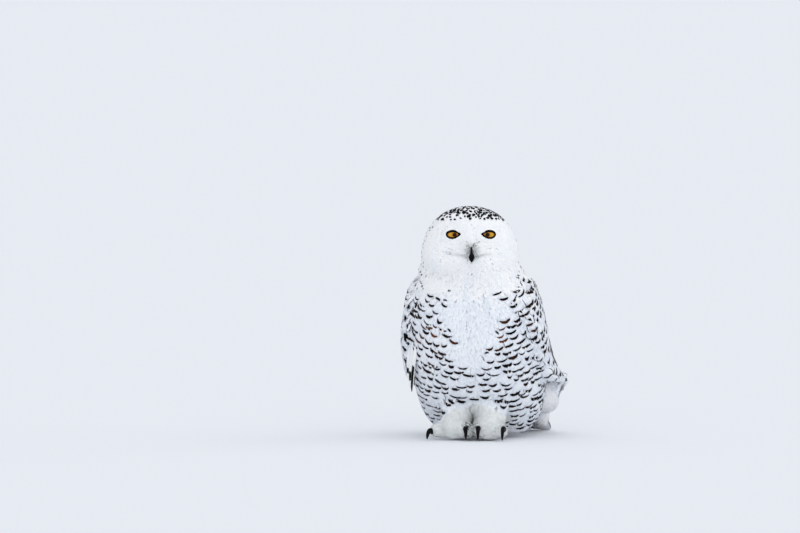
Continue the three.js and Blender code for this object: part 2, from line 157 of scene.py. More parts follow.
# White feather keratin scatters light in its barbs: dead matt, faintly blue in the shade.
# tint holds how rusty the dark marks are, a draw for each feather, and how grey the ground is: dark bristles,
# grey bristle bases, and painted shadow along the gape.
def featherGround(name, white, shade, barbs):
    made, tree, surface = newMaterial(name, {"Roughness": 0.85, "IOR": 1.5, "Specular IOR Level": 0.06,
                                             "Sheen Weight": 0.02, "Sheen Roughness": 0.5})
    place = addNode(tree, "SeparateXYZ", [addNode(tree, "UVMap", uv_map="Vane")], None)
    draws = addNode(tree, "Attribute", out="Vector", attribute_name="tint")
    tint = addNode(tree, "SeparateXYZ", (draws,), None)
    where = addNode(tree, "TexCoord", out="Object")
    fray = addNode(tree, "TexNoise", {"Vector": where, "Scale": 480.0, "Detail": 2.0})  # 2 mm frayed edges
    blotch = addNode(tree, "TexNoise", {"Vector": where, "Scale": 38.0, "Detail": 3.0})  # 26 mm drifts
    frayed = addNode(tree, "Math", (fray, 0.5), **minus)
    side = addNode(tree, "Math", (addNode(tree, "Math", (place[0], 0.5), **minus),), **unsigned)
    drift = addNode(tree, "Math", (addNode(tree, "Math", (blotch, 0.7), **times),
                                   addNode(tree, "Math", (tint[1], 0.3), **times)), **plus)
    beforeGrey = addNode(tree, "ValToRGB", (drift,), stops=[(0.3, shade), (0.62, white)])
    # greyed by tint's third number, which on the face is partly painted shadow along the gape
    ground = addNode(tree, "Mix", {0: tint[2], 6: beforeGrey, 7: linear("#4d5554")}, 2, data_type="RGBA")
    # barbs run out from the shaft at a slant, drawn 1 mm apart so that they show
    slant = addNode(tree, "Math", (addNode(tree, "Math", (place[1], barbs), **times),
                                   addNode(tree, "Math", (side, 9.0), **times)), **minus)
    comb = addNode(tree, "Math", (addNode(tree, "Math", (slant, 2 * math.pi), **times),), operation="SINE")
    shaft = addNode(tree, "Math", (addNode(tree, "Math", (0.035, side), **minus), 40.0), **heldTimes)
    height = addNode(tree, "Math", (addNode(tree, "Math", (comb, 0.35), **times), shaft), **plus)
    bump = addNode(tree, "Bump", {"Strength": 0.2, "Distance": 0.0003, "Height": height})
    tree.links.new(bump, surface.inputs["Normal"])
    return made, tree, surface, dict(place=place, tint=tint, frayed=frayed, side=side, ground=ground)


# Small feathers of the body: bar says where a spot lies in the dark mark it belongs to, 1 at the mark's edge.
def coatMaterial(name, white, shade, dark="#0b0a0b", rust="#7b4526"):
    made, tree, surface, parts = featherGround(name, white, shade, 30.0)
    place = addNode(tree, "Attribute", out="Vector", attribute_name="bar")
    bar = addNode(tree, "SeparateXYZ", (place,), None)
    endwise = addNode(tree, "Math", (bar[0], bar[0]), **times)
    squares = addNode(tree, "Math", (addNode(tree, "Math", (endwise, endwise), **times),
                                     addNode(tree, "Math", (bar[1], bar[1]), **times)), **plus)
    inside = addNode(tree, "Math", (addNode(tree, "Math", (1.0, squares), **minus),
                                    addNode(tree, "Math", (parts["frayed"], 1.5), **times)), **plus)
    bars = addNode(tree, "Math", (addNode(tree, "Math", (inside, 6.0), **heldTimes), bar[2]), **heldTimes)
    # the web greys a little round each mark: partly the soft grey edge of the bar itself, partly painted shade
    # between the marks
    near = addNode(tree, "Math", (addNode(tree, "Math", (inside, 5.0), **plus), 0.2), **heldTimes)
    markEdgeAndShade = addNode(tree, "Math", (addNode(tree, "Math", (near, bar[2]), **heldTimes), 0.34), **times)
    ground = addNode(tree, "Mix", {0: markEdgeAndShade, 6: parts["ground"], 7: linear("#a9b0c0")}, 2, data_type="RGBA")
    ink = addNode(tree, "Mix", {0: parts["tint"][0], 6: linear(dark), 7: linear(rust)}, 2, data_type="RGBA")
    marked = addNode(tree, "Mix", {0: bars, 6: ground, 7: ink}, 2, data_type="RGBA")
    tree.links.new(marked, surface.inputs["Base Color"])
    return made


# Long vanes of wings and tail: mark holds strength, half thickness and place of the bar near the tip,
# ladder the number, half thickness and start of the rungs below it.
def vaneMaterial(name, white, shade, dark="#0d0b0b", rust="#6e4a36"):
    made, tree, surface, parts = featherGround(name, white, shade, 90.0)
    fields = [addNode(tree, "Attribute", out="Vector", attribute_name=name) for name in ("mark", "ladder")]
    mark, rungs = (addNode(tree, "SeparateXYZ", (field,), None) for field in fields)
    frayed, side = parts["frayed"], parts["side"]
    along = addNode(tree, "Math", (parts["place"][1], addNode(tree, "Math", (frayed, 0.06), **times)), **plus)
    rim = addNode(tree, "Math", (side, addNode(tree, "Math", (frayed, 0.14), **times)), **plus)
    ends = addNode(tree, "Math", (addNode(tree, "Math", (0.4, rim), **minus), 12.0), **heldTimes)
    off = addNode(tree, "Math", (addNode(tree, "Math", (along, mark[2]), **minus),), **unsigned)
    near = addNode(tree, "Math", (mark[1], off), **minus)
    tipBar = addNode(tree, "Math", (addNode(tree, "Math", (near, 70.0), **heldTimes), ends), **times)
    beat = addNode(tree, "Math", (addNode(tree, "Math", (along, rungs[0]), **times), rungs[2]), **plus)
    beat = addNode(tree, "Math", (beat,), operation="FRACT")
    off = addNode(tree, "Math", (addNode(tree, "Math", (beat, 0.5), **minus),), **unsigned)
    lit = addNode(tree, "Math", (rungs[1], off), **minus)
    ladder = addNode(tree, "Math", (addNode(tree, "Math", (lit, 20.0), **heldTimes), ends), **times)
    broken = addNode(tree, "Math", (addNode(tree, "Math", (side, 0.05), **minus), 9.0), **heldTimes)
    ladder = addNode(tree, "Math", (ladder, broken), **times)  # rungs break off at the shaft
    either = addNode(tree, "Math", (tipBar, ladder), operation="MAXIMUM")
    bars = addNode(tree, "Math", (either, mark[0]), **heldTimes)
    ink = addNode(tree, "Mix", {0: parts["tint"][0], 6: linear(dark), 7: linear(rust)}, 2, data_type="RGBA")
    marked = addNode(tree, "Mix", {0: bars, 6: parts["ground"], 7: ink}, 2, data_type="RGBA")
    tree.links.new(marked, surface.inputs["Base Color"])
    return made


# Skin under the feathers: only a pale down shows between them.
def downMaterial():
    made, tree, surface = newMaterial("pale down", {"Roughness": 0.9, "Specular IOR Level": 0.15})
    where = addNode(tree, "TexCoord", out="Object")
    fluff = addNode(tree, "TexNoise", {"Vector": where, "Scale": 260.0, "Detail": 4.0})  # 4 mm fluff
    colour = addNode(tree, "ValToRGB", (fluff,), stops=[(0.25, "#eceff4"), (0.75, "#f8f9fb")])
    tree.links.new(colour, surface.inputs["Base Color"])
    bump = addNode(tree, "Bump", {"Strength": 0.6, "Distance": 0.001, "Height": fluff})
    tree.links.new(bump, surface.inputs["Normal"])
    return made


# Bill and talons: black keratin grown in layers, polished by use, greyer at the root.
def hornMaterial():
    polished = {"Roughness": 0.4, "IOR": 1.54, "Specular IOR Level": 0.08}
    made, tree, surface = newMaterial("black keratin", polished)
    root = addNode(tree, "Attribute", out="Fac", attribute_name="along")
    where = addNode(tree, "TexCoord", out="Object")
    grain = addNode(tree, "TexNoise", {"Vector": where, "Scale": 700.0, "Detail": 3.0})  # 1.4 mm layers
    uneven = addNode(tree, "Math", (addNode(tree, "Math", (grain, 0.5), **minus), 0.3), **times)
    age = addNode(tree, "Math", (root, uneven), **plus)
    colour = addNode(tree, "ValToRGB", (age,), stops=[(0.0, "#14161a"), (0.3, "#08090d"), (1.0, "#040507")])
    tree.links.new(colour, surface.inputs["Base Color"])
    worn = addNode(tree, "Math", (addNode(tree, "Math", (grain, 0.25), **times), 0.3), **plus)
    tree.links.new(worn, surface.inputs["Roughness"])
    bump = addNode(tree, "Bump", {"Strength": 0.2, "Distance": 0.0003, "Height": grain})
    tree.links.new(bump, surface.inputs["Normal"])
    return made


# A wet eye: golden iris with fine spokes, a dark rim that is partly painted lid shade, a black pupil, all
# under a clear cornea.
def eyeMaterial():
    wet = {"Roughness": 0.3, "IOR": 1.376, "Specular IOR Level": 0.15,
           "Coat Weight": 0.2, "Coat Roughness": 0.02, "Coat IOR": 1.376}
    made, tree, surface = newMaterial("wet golden eye", wet)
    off = addNode(tree, "Attribute", out="Vector", attribute_name="offAxis")
    polar = addNode(tree, "VectorMath", (off,), "Value", operation="LENGTH")
    ray = addNode(tree, "VectorMath", (off,), operation="NORMALIZE")
    spokes = addNode(tree, "TexNoise", {"Vector": ray, "Scale": 16.0, "Detail": 4.0})
    uneven = addNode(tree, "Math", (addNode(tree, "Math", (spokes, 0.5), **minus), 0.05), **times)
    # the iris darkens towards its edge: partly a rim of its own, partly painted shade under the lids
    rings = addNode(tree, "ValToRGB", (addNode(tree, "Math", (polar, uneven), **plus),),
                    stops=[(0.0, "#1c0806"), (0.19, "#1c0806"), (0.225, "#7d480e"), (0.32, "#d79a26"),
                           (0.6, "#efb843"), (0.8, "#c98a1e"), (0.92, "#5a3408"), (1.0, "#150f0a")])
    streak = addNode(tree, "ValToRGB", (spokes,), stops=[(0.35, "#c9c0b0"), (0.65, "#ffffff")])
    iris = addNode(tree, "Mix", {0: 0.8, 6: rings, 7: streak}, 2, data_type="RGBA", blend_type="MULTIPLY")
    tree.links.new(iris, surface.inputs["Base Color"])
    return made


# Bare black skin of the eyelids' edge, pebbled under 1 mm.
def lidMaterial():
    made, tree, surface = newMaterial("black lid skin", {"Roughness": 0.7, "Specular IOR Level": 0.05})
    where = addNode(tree, "TexCoord", out="Object")
    pebble = addNode(tree, "TexNoise", {"Vector": where, "Scale": 1400.0, "Detail": 2.0})
    colour = addNode(tree, "ValToRGB", (pebble,), stops=[(0.3, "#060505"), (0.7, "#120e0d")])
    tree.links.new(colour, surface.inputs["Base Color"])
    bump = addNode(tree, "Bump", {"Strength": 0.4, "Distance": 0.0002, "Height": pebble})
    tree.links.new(bump, surface.inputs["Normal"])
    return made


plumage = coatMaterial("white contour feathers", "#f8fbff", "#e9eff7")
# The same white made lighter, as painted light: on the head, which gets more light from above, and on the
# vent, which lies in shade.
paintedLightWhite = coatMaterial("white feathers with painted light", "#fefefe", "#f5f8fc")
legDown = coatMaterial("cream leg down", "#f3f5f4", "#e6eae9")
flightVane = vaneMaterial("flight feather vanes", "#fcfdfe", "#eff3f8")
down, horn, wetEye, lidSkin = downMaterial(), hornMaterial(), eyeMaterial(), lidMaterial()
print("materials made")


def addPiece(name, mesh, material, stands):
    piece = bpy.data.objects.new(name, mesh)
    bpy.context.collection.objects.link(piece)
    mesh.materials.clear()
    mesh.materials.append(material)
    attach(piece, "root")
    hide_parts(*stands)
    return piece


def meshFrom(bm, name):
    mesh = bpy.data.meshes.new(name)
    bm.to_mesh(mesh)
    bm.free()
    mesh.shade_smooth()
    return mesh


def meshPoints(mesh, values="co"):
    out = np.empty(len(mesh.vertices) * 3)
    mesh.vertices.foreach_get(values, out)
    return out.reshape(-1, 3)


def pointVector(mesh, name, values):
    field = mesh.attributes.new(name, "FLOAT_VECTOR", "POINT")
    field.data.foreach_set("vector", np.asarray(values, np.float32).ravel())


def cornerMap(mesh, name, perVertex):
    corners = np.empty(len(mesh.loops), np.int32)
    mesh.loops.foreach_get("vertex_index", corners)
    layer = mesh.uv_layers.new(name=name)
    layer.data.foreach_set("uv", np.asarray(perVertex, np.float32)[corners].ravel())


# One feather as a flattened ball whose rings run across it from root to tip; sides and tip carry loose barbs.
# Each row is the place along the feather, the share of its width, and how far its sides fall back.
def featherShape(rows, around, length, width, cup, thick, barbs=0, barbLength=4.0, barbFrom=0.55,
                 barbWide=0.26, seed=1):
    def placed(side, t, share, bow):  # a spot of the middle layer, side from -1 to 1
        return side * share * width / 2, length * (t - bow * side * side), cup * (1 - side * side) * share
    draw = np.random.default_rng(seed)
    last = len(rows) - 1
    bm = bmesh.new()
    bmesh.ops.create_uvsphere(bm, u_segments=around, v_segments=last, radius=1)
    info = {}
    for v in bm.verts:
        ring = int(round(math.acos(max(-1, min(1, v.co.z))) / math.pi * last))
        turn = math.atan2(v.co.y, v.co.x)
        side, face = (math.cos(turn), math.sin(turn)) if 0 < ring < last else (0.0, 0.0)
        v.co = placed(side, *rows[ring])
        v.co.z += face * thick / 2
        info[v] = (side, rows[ring][0], ring / last)
    bmesh.ops.recalc_face_normals(bm, faces=bm.faces)
    bm.verts.ensure_lookup_table()
    rim = [e for e in bm.edges if all(abs(abs(info[v][0]) - 1) < 0.01 for v in e.verts)]
    sharp = [tuple(v.index for v in e.verts) for e in rim]
    places, shares, bows = np.array(rows, float).T
    for k in range(barbs):
        side = 1 if k % 2 else -1
        t = barbFrom + (0.985 - barbFrom) * ((k // 2) + draw.uniform(0, 1)) / max(1, barbs // 2)
        share, bow = np.interp(t, places, shares), np.interp(t, places, bows)
        across = side * draw.uniform(0.72, 0.98)
        start = Vector(placed(across, t, share, bow))
        aside = side * (1.0 - 0.75 * t + draw.uniform(-0.15, 0.15))
        way = Vector((aside, 0.55 + t, draw.uniform(-0.1, 0.04))).normalized()
        reach = barbLength * draw.uniform(0.6, 1.25)
        turn = Vector((0, 0, 1)).rotation_difference(way).to_matrix().to_4x4()
        made = bmesh.ops.create_cone(bm, cap_ends=False, segments=3, radius1=barbWide, radius2=0.0,
                                     depth=reach, matrix=Matrix.Translation(start + way * reach * 0.4) @ turn)
        row = float(np.interp(t, places, np.arange(len(rows)) / last))
        for j, v in enumerate(made["verts"]):
            info[v] = (across + 0.05 * (j % 2), t, min(1.0, row + 0.03 * (j // 2)))
    bm.verts.index_update()
    spots = np.array([v.co[:] for v in bm.verts])
    flat = np.array([info[v] for v in bm.verts])
    faces = [[v.index for v in f.verts] for f in bm.faces]
    bm.free()
    table = np.zeros((len(spots), len(spots)), bool)
    for a, b in sharp:
        table[a, b] = table[b, a] = True
    return dict(spots=spots / [width, length, 1.0], flat=flat, faces=faces, sharp=table)


# Lays shapes at many places as one mesh. Each group has one shape; bent is what bendAlong gives for it, corner
# and patch are each feather's square of the map, and fields hold three numbers for each feather or point.
def joinedMesh(name, groups, fields):
    points, loops, starts, bake, vane, lies, hard = [[] for _ in range(7)]
    values = {field: [] for field in fields}
    base = count = 0
    for group in groups:
        shape, (spots, lie) = group["shape"], group["bent"]
        n, v = spots.shape[:2]
        lies.append(lie.reshape(-1, 3))
        sizes = np.array([len(f) for f in shape["faces"]])
        flatLoops = np.concatenate(shape["faces"])
        order = np.arange(n)[:, None]
        loops.append((flatLoops[None] + order * v + base).ravel())
        begin = np.concatenate([[0], np.cumsum(sizes)[:-1]])
        starts.append((begin[None] + order * len(flatLoops) + count).ravel())
        points.append(spots.reshape(-1, 3))
        side, t, row = shape["flat"].T
        vane.append(np.tile(columns(side / 2 + 0.5, t), (n, 1)))
        inside = columns(side / 2 + 0.5, row) * 0.92 + 0.04
        bake.append((group["corner"][:, None] + inside[None] * group["patch"]).reshape(-1, 2))
        for field in fields:
            given = np.asarray(group[field], float)
            given = given[:, None] if given.ndim == 2 else given
            values[field].append(np.broadcast_to(given, (n, v, 3)).reshape(-1, 3))
        hard.append((base, n, v, shape["sharp"]))
        base += n * v
        count += n * len(flatLoops)
    points = toFrame(np.concatenate(points))
    points[:, 2] = np.maximum(points[:, 2], 0.0004)
    mesh = bpy.data.meshes.new(name)
    mesh.vertices.add(len(points))
    mesh.vertices.foreach_set("co", points.astype(np.float32).ravel())
    loops, starts = np.concatenate(loops), np.concatenate(starts)
    mesh.loops.add(len(loops))
    mesh.loops.foreach_set("vertex_index", loops.astype(np.int32))
    mesh.polygons.add(len(starts))
    mesh.polygons.foreach_set("loop_start", starts.astype(np.int32))
    mesh.update(calc_edges=True)
    mesh.shade_smooth()
    ends = np.empty(len(mesh.edges) * 2, np.int32)
    mesh.edges.foreach_get("vertices", ends)
    ends = ends.reshape(-1, 2)
    sharp = np.zeros(len(ends), bool)
    for low, n, v, table in hard:
        mine = (ends[:, 0] >= low) & (ends[:, 0] < low + n * v)
        sharp[mine] = table[(ends[mine, 0] - low) % v, (ends[mine, 1] - low) % v]
    mesh.attributes.new("sharp_edge", "BOOLEAN", "EDGE").data.foreach_set("value", sharp)
    cornerMap(mesh, "OFBake", np.clip(np.concatenate(bake), 0.001, 0.999))
    cornerMap(mesh, "Vane", np.concatenate(vane))
    for field in fields:
        pointVector(mesh, field, np.concatenate(values[field]))
    own, lies = meshPoints(mesh, "normal"), np.concatenate(lies)
    outward = np.sum(own * lies, -1, keepdims=True) > -0.2
    # the coat shades as one soft surface
    mesh.normals_split_custom_set_from_vertices(unit(np.where(outward, own * 0.2 + lies * 0.8, own)))
    return mesh


# Bends a shape along root, middle and tip, one copy for each row of the arrays.
def bendAlong(shape, root, middle, tip, nRoot, nTip, width, roll=0.0, sway=0.0):
    x, y, z = (shape["spots"][:, i][None, :, None] for i in range(3))
    root, middle, tip = (a[:, None] for a in (root, middle, tip))
    line = root * (1 - 3 * y + 2 * y * y) + middle * (4 * y - 4 * y * y) + tip * (2 * y * y - y)
    slope = unit(root * (4 * y - 3) + middle * (4 - 8 * y) + tip * (4 * y - 1))
    normal = unit(nRoot[:, None] * (1 - y) + nTip[:, None] * y)
    across = unit(np.cross(slope, normal))
    up = np.cross(across, slope)
    roll, sway, wide = (np.broadcast_to(a, len(width))[:, None, None] for a in (roll, sway, width))
    turnedAcross = across * np.cos(roll) + up * np.sin(roll)
    up = np.cross(turnedAcross, slope)
    spots = line + turnedAcross * (x * wide + sway * wide * y * y) + up * z
    return spots, np.broadcast_to(normal, spots.shape)


def chosenOf(bent, chosen):
    return bent[0][chosen], bent[1][chosen]


# The bird's outer form: flesh nodes and fillers as one closed mesh. The skin lies inside it by these depths.
skinForm = dict(voxel=0.003, smooth=10, torso=4.2, head=1.7, leg=3.0, toe=2.4, corner=2.5)
outerForm = dict(voxel=0.0035, smooth=14)
fleshNodes = ["head", "neck", "torso", "leg_left", "leg_right", "foot_left", "foot_right"]
# Middle of the body at each height, as (height, y).
bodyAxis = np.array([[0, 69], [36, 70], [55, 62], [80, 51], [110, 41], [150, 26], [200, 9], [245, -2],
                     [272, -7], [300, -17]], float)


def axisAt(z):
    return np.interp(z, *bodyAxis.T)


def formOf(fillers, sizes):
    bm = bmesh.new()
    for source in [nodes[n].data for n in fleshNodes + ["eye_left", "eye_right"]] + fillers:
        bm.from_mesh(source)
    bmesh.ops.remove_doubles(bm, verts=bm.verts, dist=1e-6)
    holder = bpy.data.objects.new("form", meshFrom(bm, "form"))
    bpy.context.collection.objects.link(holder)
    remesh = holder.modifiers.new("remesh", "REMESH")
    remesh.mode, remesh.voxel_size = "VOXEL", sizes["voxel"]
    soft = holder.modifiers.new("soft", "SMOOTH")
    soft.factor, soft.iterations = 0.5, sizes["smooth"]
    made = bpy.data.meshes.new_from_object(holder.evaluated_get(bpy.context.evaluated_depsgraph_get()))
    bpy.data.objects.remove(holder)
    return made


def treeOf(mesh):  # in bird mm
    faces = [tuple(p.vertices) for p in mesh.polygons]
    return BVHTree.FromPolygons([Vector(p) for p in toBird(meshPoints(mesh))], faces)


def ballMesh(centre, axes, pitch=0.0):  # a ball drawn out along its axes, in mm
    place = Matrix.Translation(toFrame(centre)) @ Matrix.Rotation(math.radians(pitch), 4, "X")
    drawn = Matrix.Diagonal((*(a / 1000 for a in axes), 1))
    bm = bmesh.new()
    bmesh.ops.create_icosphere(bm, subdivisions=3, radius=1.0, matrix=place @ drawn)
    return meshFrom(bm, "ball")


# Loose plumage that rounds off the throat and the side of the neck.
ruff = [ballMesh((11, -48, 277), (62, 47, 24)), ballMesh((-70, -34, 286), (20, 32, 24))]
formMesh = formOf(ruff, skinForm)
formTree = treeOf(formMesh)


def gathered(finds, points):  # places, normals and faces that a search finds, face -1 where it finds none
    spots, normals = np.array(points, float), np.tile([0.0, 0.0, 1.0], (len(points), 1))
    ids = np.full(len(points), -1)
    for i, (spot, normal, index, _) in enumerate(finds):
        if spot is not None:
            spots[i], normals[i], ids[i] = spot, normal, index
    return spots, normals, ids


def nearest(tree, points, reach=60.0):
    return gathered((tree.find_nearest(Vector(p), reach) for p in points), points)


def firstHit(tree, starts, ways, reach=600.0):
    return gathered((tree.ray_cast(Vector(p), Vector(d), reach) for p, d in zip(starts, ways)), starts)


def eyeOff(local):  # how far a spot of the face is from each eye's opening, 1 at its edge
    (middle, height), (wide, tall) = head["opening"], head["openingHalf"]
    x, y, z = local.T
    return np.hypot((np.abs(x) - middle) / wide, (z - height) / tall) + 99 * (y > -20)


def skinPiece():
    mesh = formMesh.copy()
    points, normals = toBird(meshPoints(mesh)), meshPoints(mesh, "normal")
    x, y, z = points.T
    local = headLocal(points)
    depth = np.where(z > 268, skinForm["head"], skinForm["torso"])
    atCorner = smoothStep(eyeOff(local), 1.95, 1.55) * smoothStep(np.abs(local[:, 0]), 24, 20)
    depth = depth + skinForm["corner"] * atCorner  # clear of the lids
    low = smoothStep(z, 72, 40) * (y < 5)
    depth = depth * (1 - low) + skinForm["leg"] * low
    depth = np.where((z < 30) & (y < 5), np.minimum(depth, skinForm["toe"]), depth)
    moved = toFrame(points - normals * depth[:, None])
    moved[:, 2] = np.maximum(moved[:, 2], 0.0006)
    mesh.vertices.foreach_set("co", moved.astype(np.float32).ravel())
    mesh.update()
    mesh.shade_smooth()
    around = np.arctan2(x, axisAt(z) - y) / (2 * math.pi) + 0.5
    cornerMap(mesh, "OFBake", columns(np.clip(around, 0.01, 0.99), np.clip(z / 410, 0.01, 0.99)))
    return addPiece("skin", mesh, down, fleshNodes)


print("skin made,", len(skinPiece().data.polygons), "faces")

# Wings. Every wing feather lies on a chart: u runs from the shoulder to the tip, v from the lower edge at -1
# to the edge over the back at 1, and h lifts off it.
wingUpper = [(96, -16, 279), (80, 76, 256), (46, 129, 195), (25, 168, 138)]
wingLines = dict(
    left=dict(lower=[(96, -60, 222), (111, -38, 160), (116, 22, 106), (128, 124, 88), (89, 212, 62)],
              middle=[(106, -42, 250), (119, -5, 202), (110, 70, 152), (97, 142, 110), (68, 217, 69)],
              upper=wingUpper + [(44, 222, 76)]),
    right=dict(lower=[(96, -60, 222), (112, -38, 154), (120, 22, 96), (113, 112, 78), (80, 212, 58)],
               middle=[(107, -42, 250), (117, -5, 202), (113, 68, 150), (95, 138, 108), (62, 217, 66)],
               upper=wingUpper + [(42, 222, 74)]))
flips = dict(left=np.array([1.0, 1.0, 1.0]), right=np.array([-1.0, 1.0, 1.0]))


def splineTable(points, steps=240):  # centripetal Catmull-Rom
    pts = np.array(points, float)
    pts = np.vstack([2 * pts[0] - pts[1], pts, 2 * pts[-1] - pts[-2]])
    out = []
    for k in range(steps + 1):
        at = min(k / steps * (len(pts) - 3), len(pts) - 3 - 1e-9)
        i, w = int(at), at - int(at)
        p0, p1, p2, p3 = pts[i:i + 4]
        d0, d1, d2 = (np.sum((b - a) ** 2) ** 0.25 for a, b in ((p0, p1), (p1, p2), (p2, p3)))
        m1 = ((p1 - p0) / d0 - (p2 - p0) / (d0 + d1) + (p2 - p1) / d1) * d1
        m2 = ((p2 - p1) / d1 - (p3 - p1) / (d1 + d2) + (p3 - p2) / d2) * d1
        out.append(p1 + m1 * w + (3 * (p2 - p1) - 2 * m1 - m2) * w * w + (2 * (p1 - p2) + m1 + m2) * w ** 3)
    return np.array(out)


def wingChart(side):
    tables = {edge: splineTable(p) for edge, p in wingLines[side].items()}
    keys = np.linspace(0, 1, 241)

    def line(edge, u):
        return np.stack([np.interp(u, keys, tables[edge][:, i]) for i in range(3)], -1)

    def flat(u, v):
        u = np.clip(u, 0, 1)
        v = np.asarray(v, float)[..., None]
        shares = dict(lower=(v * v - v) / 2, middle=1 - v * v, upper=(v * v + v) / 2)
        return sum(line(edge, u) * share for edge, share in shares.items())

    def at(u, v, h):
        u, v = np.broadcast_arrays(np.asarray(u, float), np.asarray(v, float))
        du = flat(np.minimum(u + 0.02, 1), v) - flat(np.maximum(u - 0.02, 0), v)
        dv = flat(u, v + 0.02) - flat(u, v - 0.02)
        normal = unit(np.cross(du, dv))
        return (flat(u, v) + normal * np.asarray(h, float)[..., None]) * flips[side], normal * flips[side]
    return at


charts = {side: wingChart(side) for side in wingLines}


# The wing's vanes show beyond u = 0.4. Before that, and over the front edge, the body's coat lies across it.
def vanesShow(side, u, v):
    front = -0.4 * smoothStep(u, 0.6, 0.85) if side == "left" else -0.34 - 0.5 * smoothStep(u, 0.5, 0.66)
    return (u > 0.4) & (v > front) & (v < 0.9 - 0.5 * (1 - smoothStep(u, 0.46, 0.62)))


def wingSheet(side, reach, edge, lift, steps):  # the wing's outer face as a grid, with each corner's u and v
    bm = bmesh.new()
    bmesh.ops.create_grid(bm, x_segments=steps[0], y_segments=steps[1], size=0.5)
    bm.verts.index_update()
    places = np.array([v.co[:2] for v in bm.verts]) + 0.5
    u, v = reach * places[:, 0], edge * (2 * places[:, 1] - 1)
    for vert, spot in zip(bm.verts, toFrame(charts[side](u, v, lift(u, v))[0])):
        vert.co = spot
    return bm, u, v


def wingSlab(side):  # thick enough to close the wing's edges against the flank
    bm, us, _ = wingSheet(side, 0.96 if side == "left" else 0.87, 0.98,
                          lambda u, v: 4.4 - 2.4 * smoothStep(u, 0.36, 0.5) * (v > -0.3), (38, 16))
    bmesh.ops.recalc_face_normals(bm, faces=bm.faces)
    bmesh.ops.solidify(bm, geom=bm.faces[:], thickness=0.001)
    bm.verts.ensure_lookup_table()
    half = len(bm.verts) // 2
    for u, v in zip(us, bm.verts[half:2 * half]):
        spot = toBird(v.co)
        inward = unit(np.array([-3.0, axisAt(spot[2]), spot[2]]) - spot)
        v.co = toFrame(spot + inward * (17 - 9 * smoothStep(u, 0.5, 0.9)))
    bmesh.ops.recalc_face_normals(bm, faces=bm.faces)
    return meshFrom(bm, "slab")


def ventLobe(side):  # loose feathers that fill the hollow between wing tip and tail
    return ballMesh(np.array([78, 152, 66]) * flips[side], (27, 58, 27), -20)


def tailLobe(side):  # the long soft feathers under the tail
    return ballMesh(np.array([61, 207, 38]) * flips[side], (13, 44, 23), -38)


fillers = [maker(side) for maker in (wingSlab, ventLobe, tailLobe) for side in ("left", "right")] + ruff
outerMesh = formOf(fillers, outerForm)
outerTree = treeOf(outerMesh)
sheetPlaces, sheetFaces, sheetPoints = [], [], []
for number, wingSide in enumerate(("left", "right")):
    sheet, us, vs = wingSheet(wingSide, 0.96, 1.0, lambda u, v: 3.0, (48, 24))
    for f in sheet.faces:
        corners = [v.index for v in f.verts]
        sheetPlaces.append([number, us[corners].mean(), vs[corners].mean()])
        sheetFaces.append([len(sheetPoints) + i for i in corners])
    sheetPoints += [Vector(toBird(v.co)) for v in sheet.verts]
    sheet.free()
sheetPlaces = np.array(sheetPlaces)
sheetTree = BVHTree.FromPolygons(sheetPoints, sheetFaces)
print("outer form made,", len(outerMesh.polygons), "faces")


def wingPlaces(points):  # side number (-1 off the wings), u and v of each spot
    _, _, ids = nearest(sheetTree, points, 5.0)
    out = sheetPlaces[np.maximum(ids, 0)].copy()
    out[ids < 0] = (-1, 0, 0)
    return out


# Rows of feathers hang lowest down the middle of the breast, a little to its left, and climb to the sides.
breast = dict(turn=0.2, radius=100.0, axisX=-3.0)
turnTable = np.linspace(0, math.pi, 181)
climbTable = np.sin(turnTable) * (1 - smoothStep(turnTable, 1.5, 2.6))
climbs = (climbTable[1:] + climbTable[:-1]) / 2 * (turnTable[1] - turnTable[0])
liftTable = np.concatenate([[0], np.cumsum(climbs)])


def steepness(level):
    return 0.25 + 0.42 * smoothStep(level, 50, 170)


def rowHeight(level, around):
    return level + breast["radius"] * steepness(level) * np.interp(np.abs(around), turnTable, liftTable)


def rowLevel(z, around):  # the row that passes through a height
    level = np.array(z, float)
    for _ in range(25):
        level = level + 0.6 * (z - rowHeight(level, around))
    return level


def aroundOf(points):  # the turn round the body's axis, 0 at the middle of the breast
    x, y, z = points.T
    turn = np.arctan2(x - breast["axisX"], axisAt(z) - y)
    return (turn - breast["turn"] + math.pi) % (2 * math.pi) - math.pi


# Which way feathers point at a spot: down and outwards over the body, along the wing where they lie on it.
def bodyFlow(points, normals, around, places):
    turn = around + breast["turn"]
    climb = np.interp(np.abs(around), turnTable, climbTable) * np.sign(around)
    climb = climb * steepness(rowLevel(points[:, 2], around))
    out = unit(columns(climb * np.cos(turn), climb * np.sin(turn), -1.0))
    number, u, v = places.T
    onWing = 0.8 * ((number >= 0) * smoothStep(u, 0.02, 0.3) * smoothStep(v, -1.0, -0.5))[:, None]
    return unit(levelled(out * (1 - onWing) + np.array([0, 0.72, -0.7]) * onWing, normals))


def footTop(x):  # the belly feathers part over the feet in an arch
    return np.interp(x, [-70, -63, -50, -38, -28, -10, -3, 4, 9, 15, 21, 35, 42, 56, 69, 79, 85],
                     [0, 26, 40, 48, 58, 54, 55, 58, 60, 62, 64, 62, 57, 48, 38, 20, 0])


def coated(points, places, spare=0.0):  # true where the body's coat lies
    onHead = headLocal(points)[:, 2] > -24 + spare
    overFeet = (points[:, 2] < footTop(points[:, 0]) - spare) & (points[:, 1] < 0)
    vanes = np.zeros(len(points), bool)
    for number, side in enumerate(("left", "right")):
        vanes |= (places[:, 0] == number) & vanesShow(side, places[:, 1], places[:, 2])
    return ~onHead & ~overFeet & ~vanes


# Feathers whose tips are given: they run back up the outer form to roots sunk in it.
def laidBack(shape, tips, nTip, flow, length, width, sink, roll=0.05, sway=0.06, hold=0.2):
    root, nRoot, _ = nearest(outerTree, tips - flow * length[:, None])
    middle, nMiddle, _ = nearest(outerTree, tips - flow * length[:, None] * 0.5)
    return bendAlong(shape, root - nRoot * sink, middle - nMiddle * sink * hold, tips, nRoot, nTip, width,
                     rng.normal(0, roll, len(tips)), rng.normal(0, sway, len(tips)))


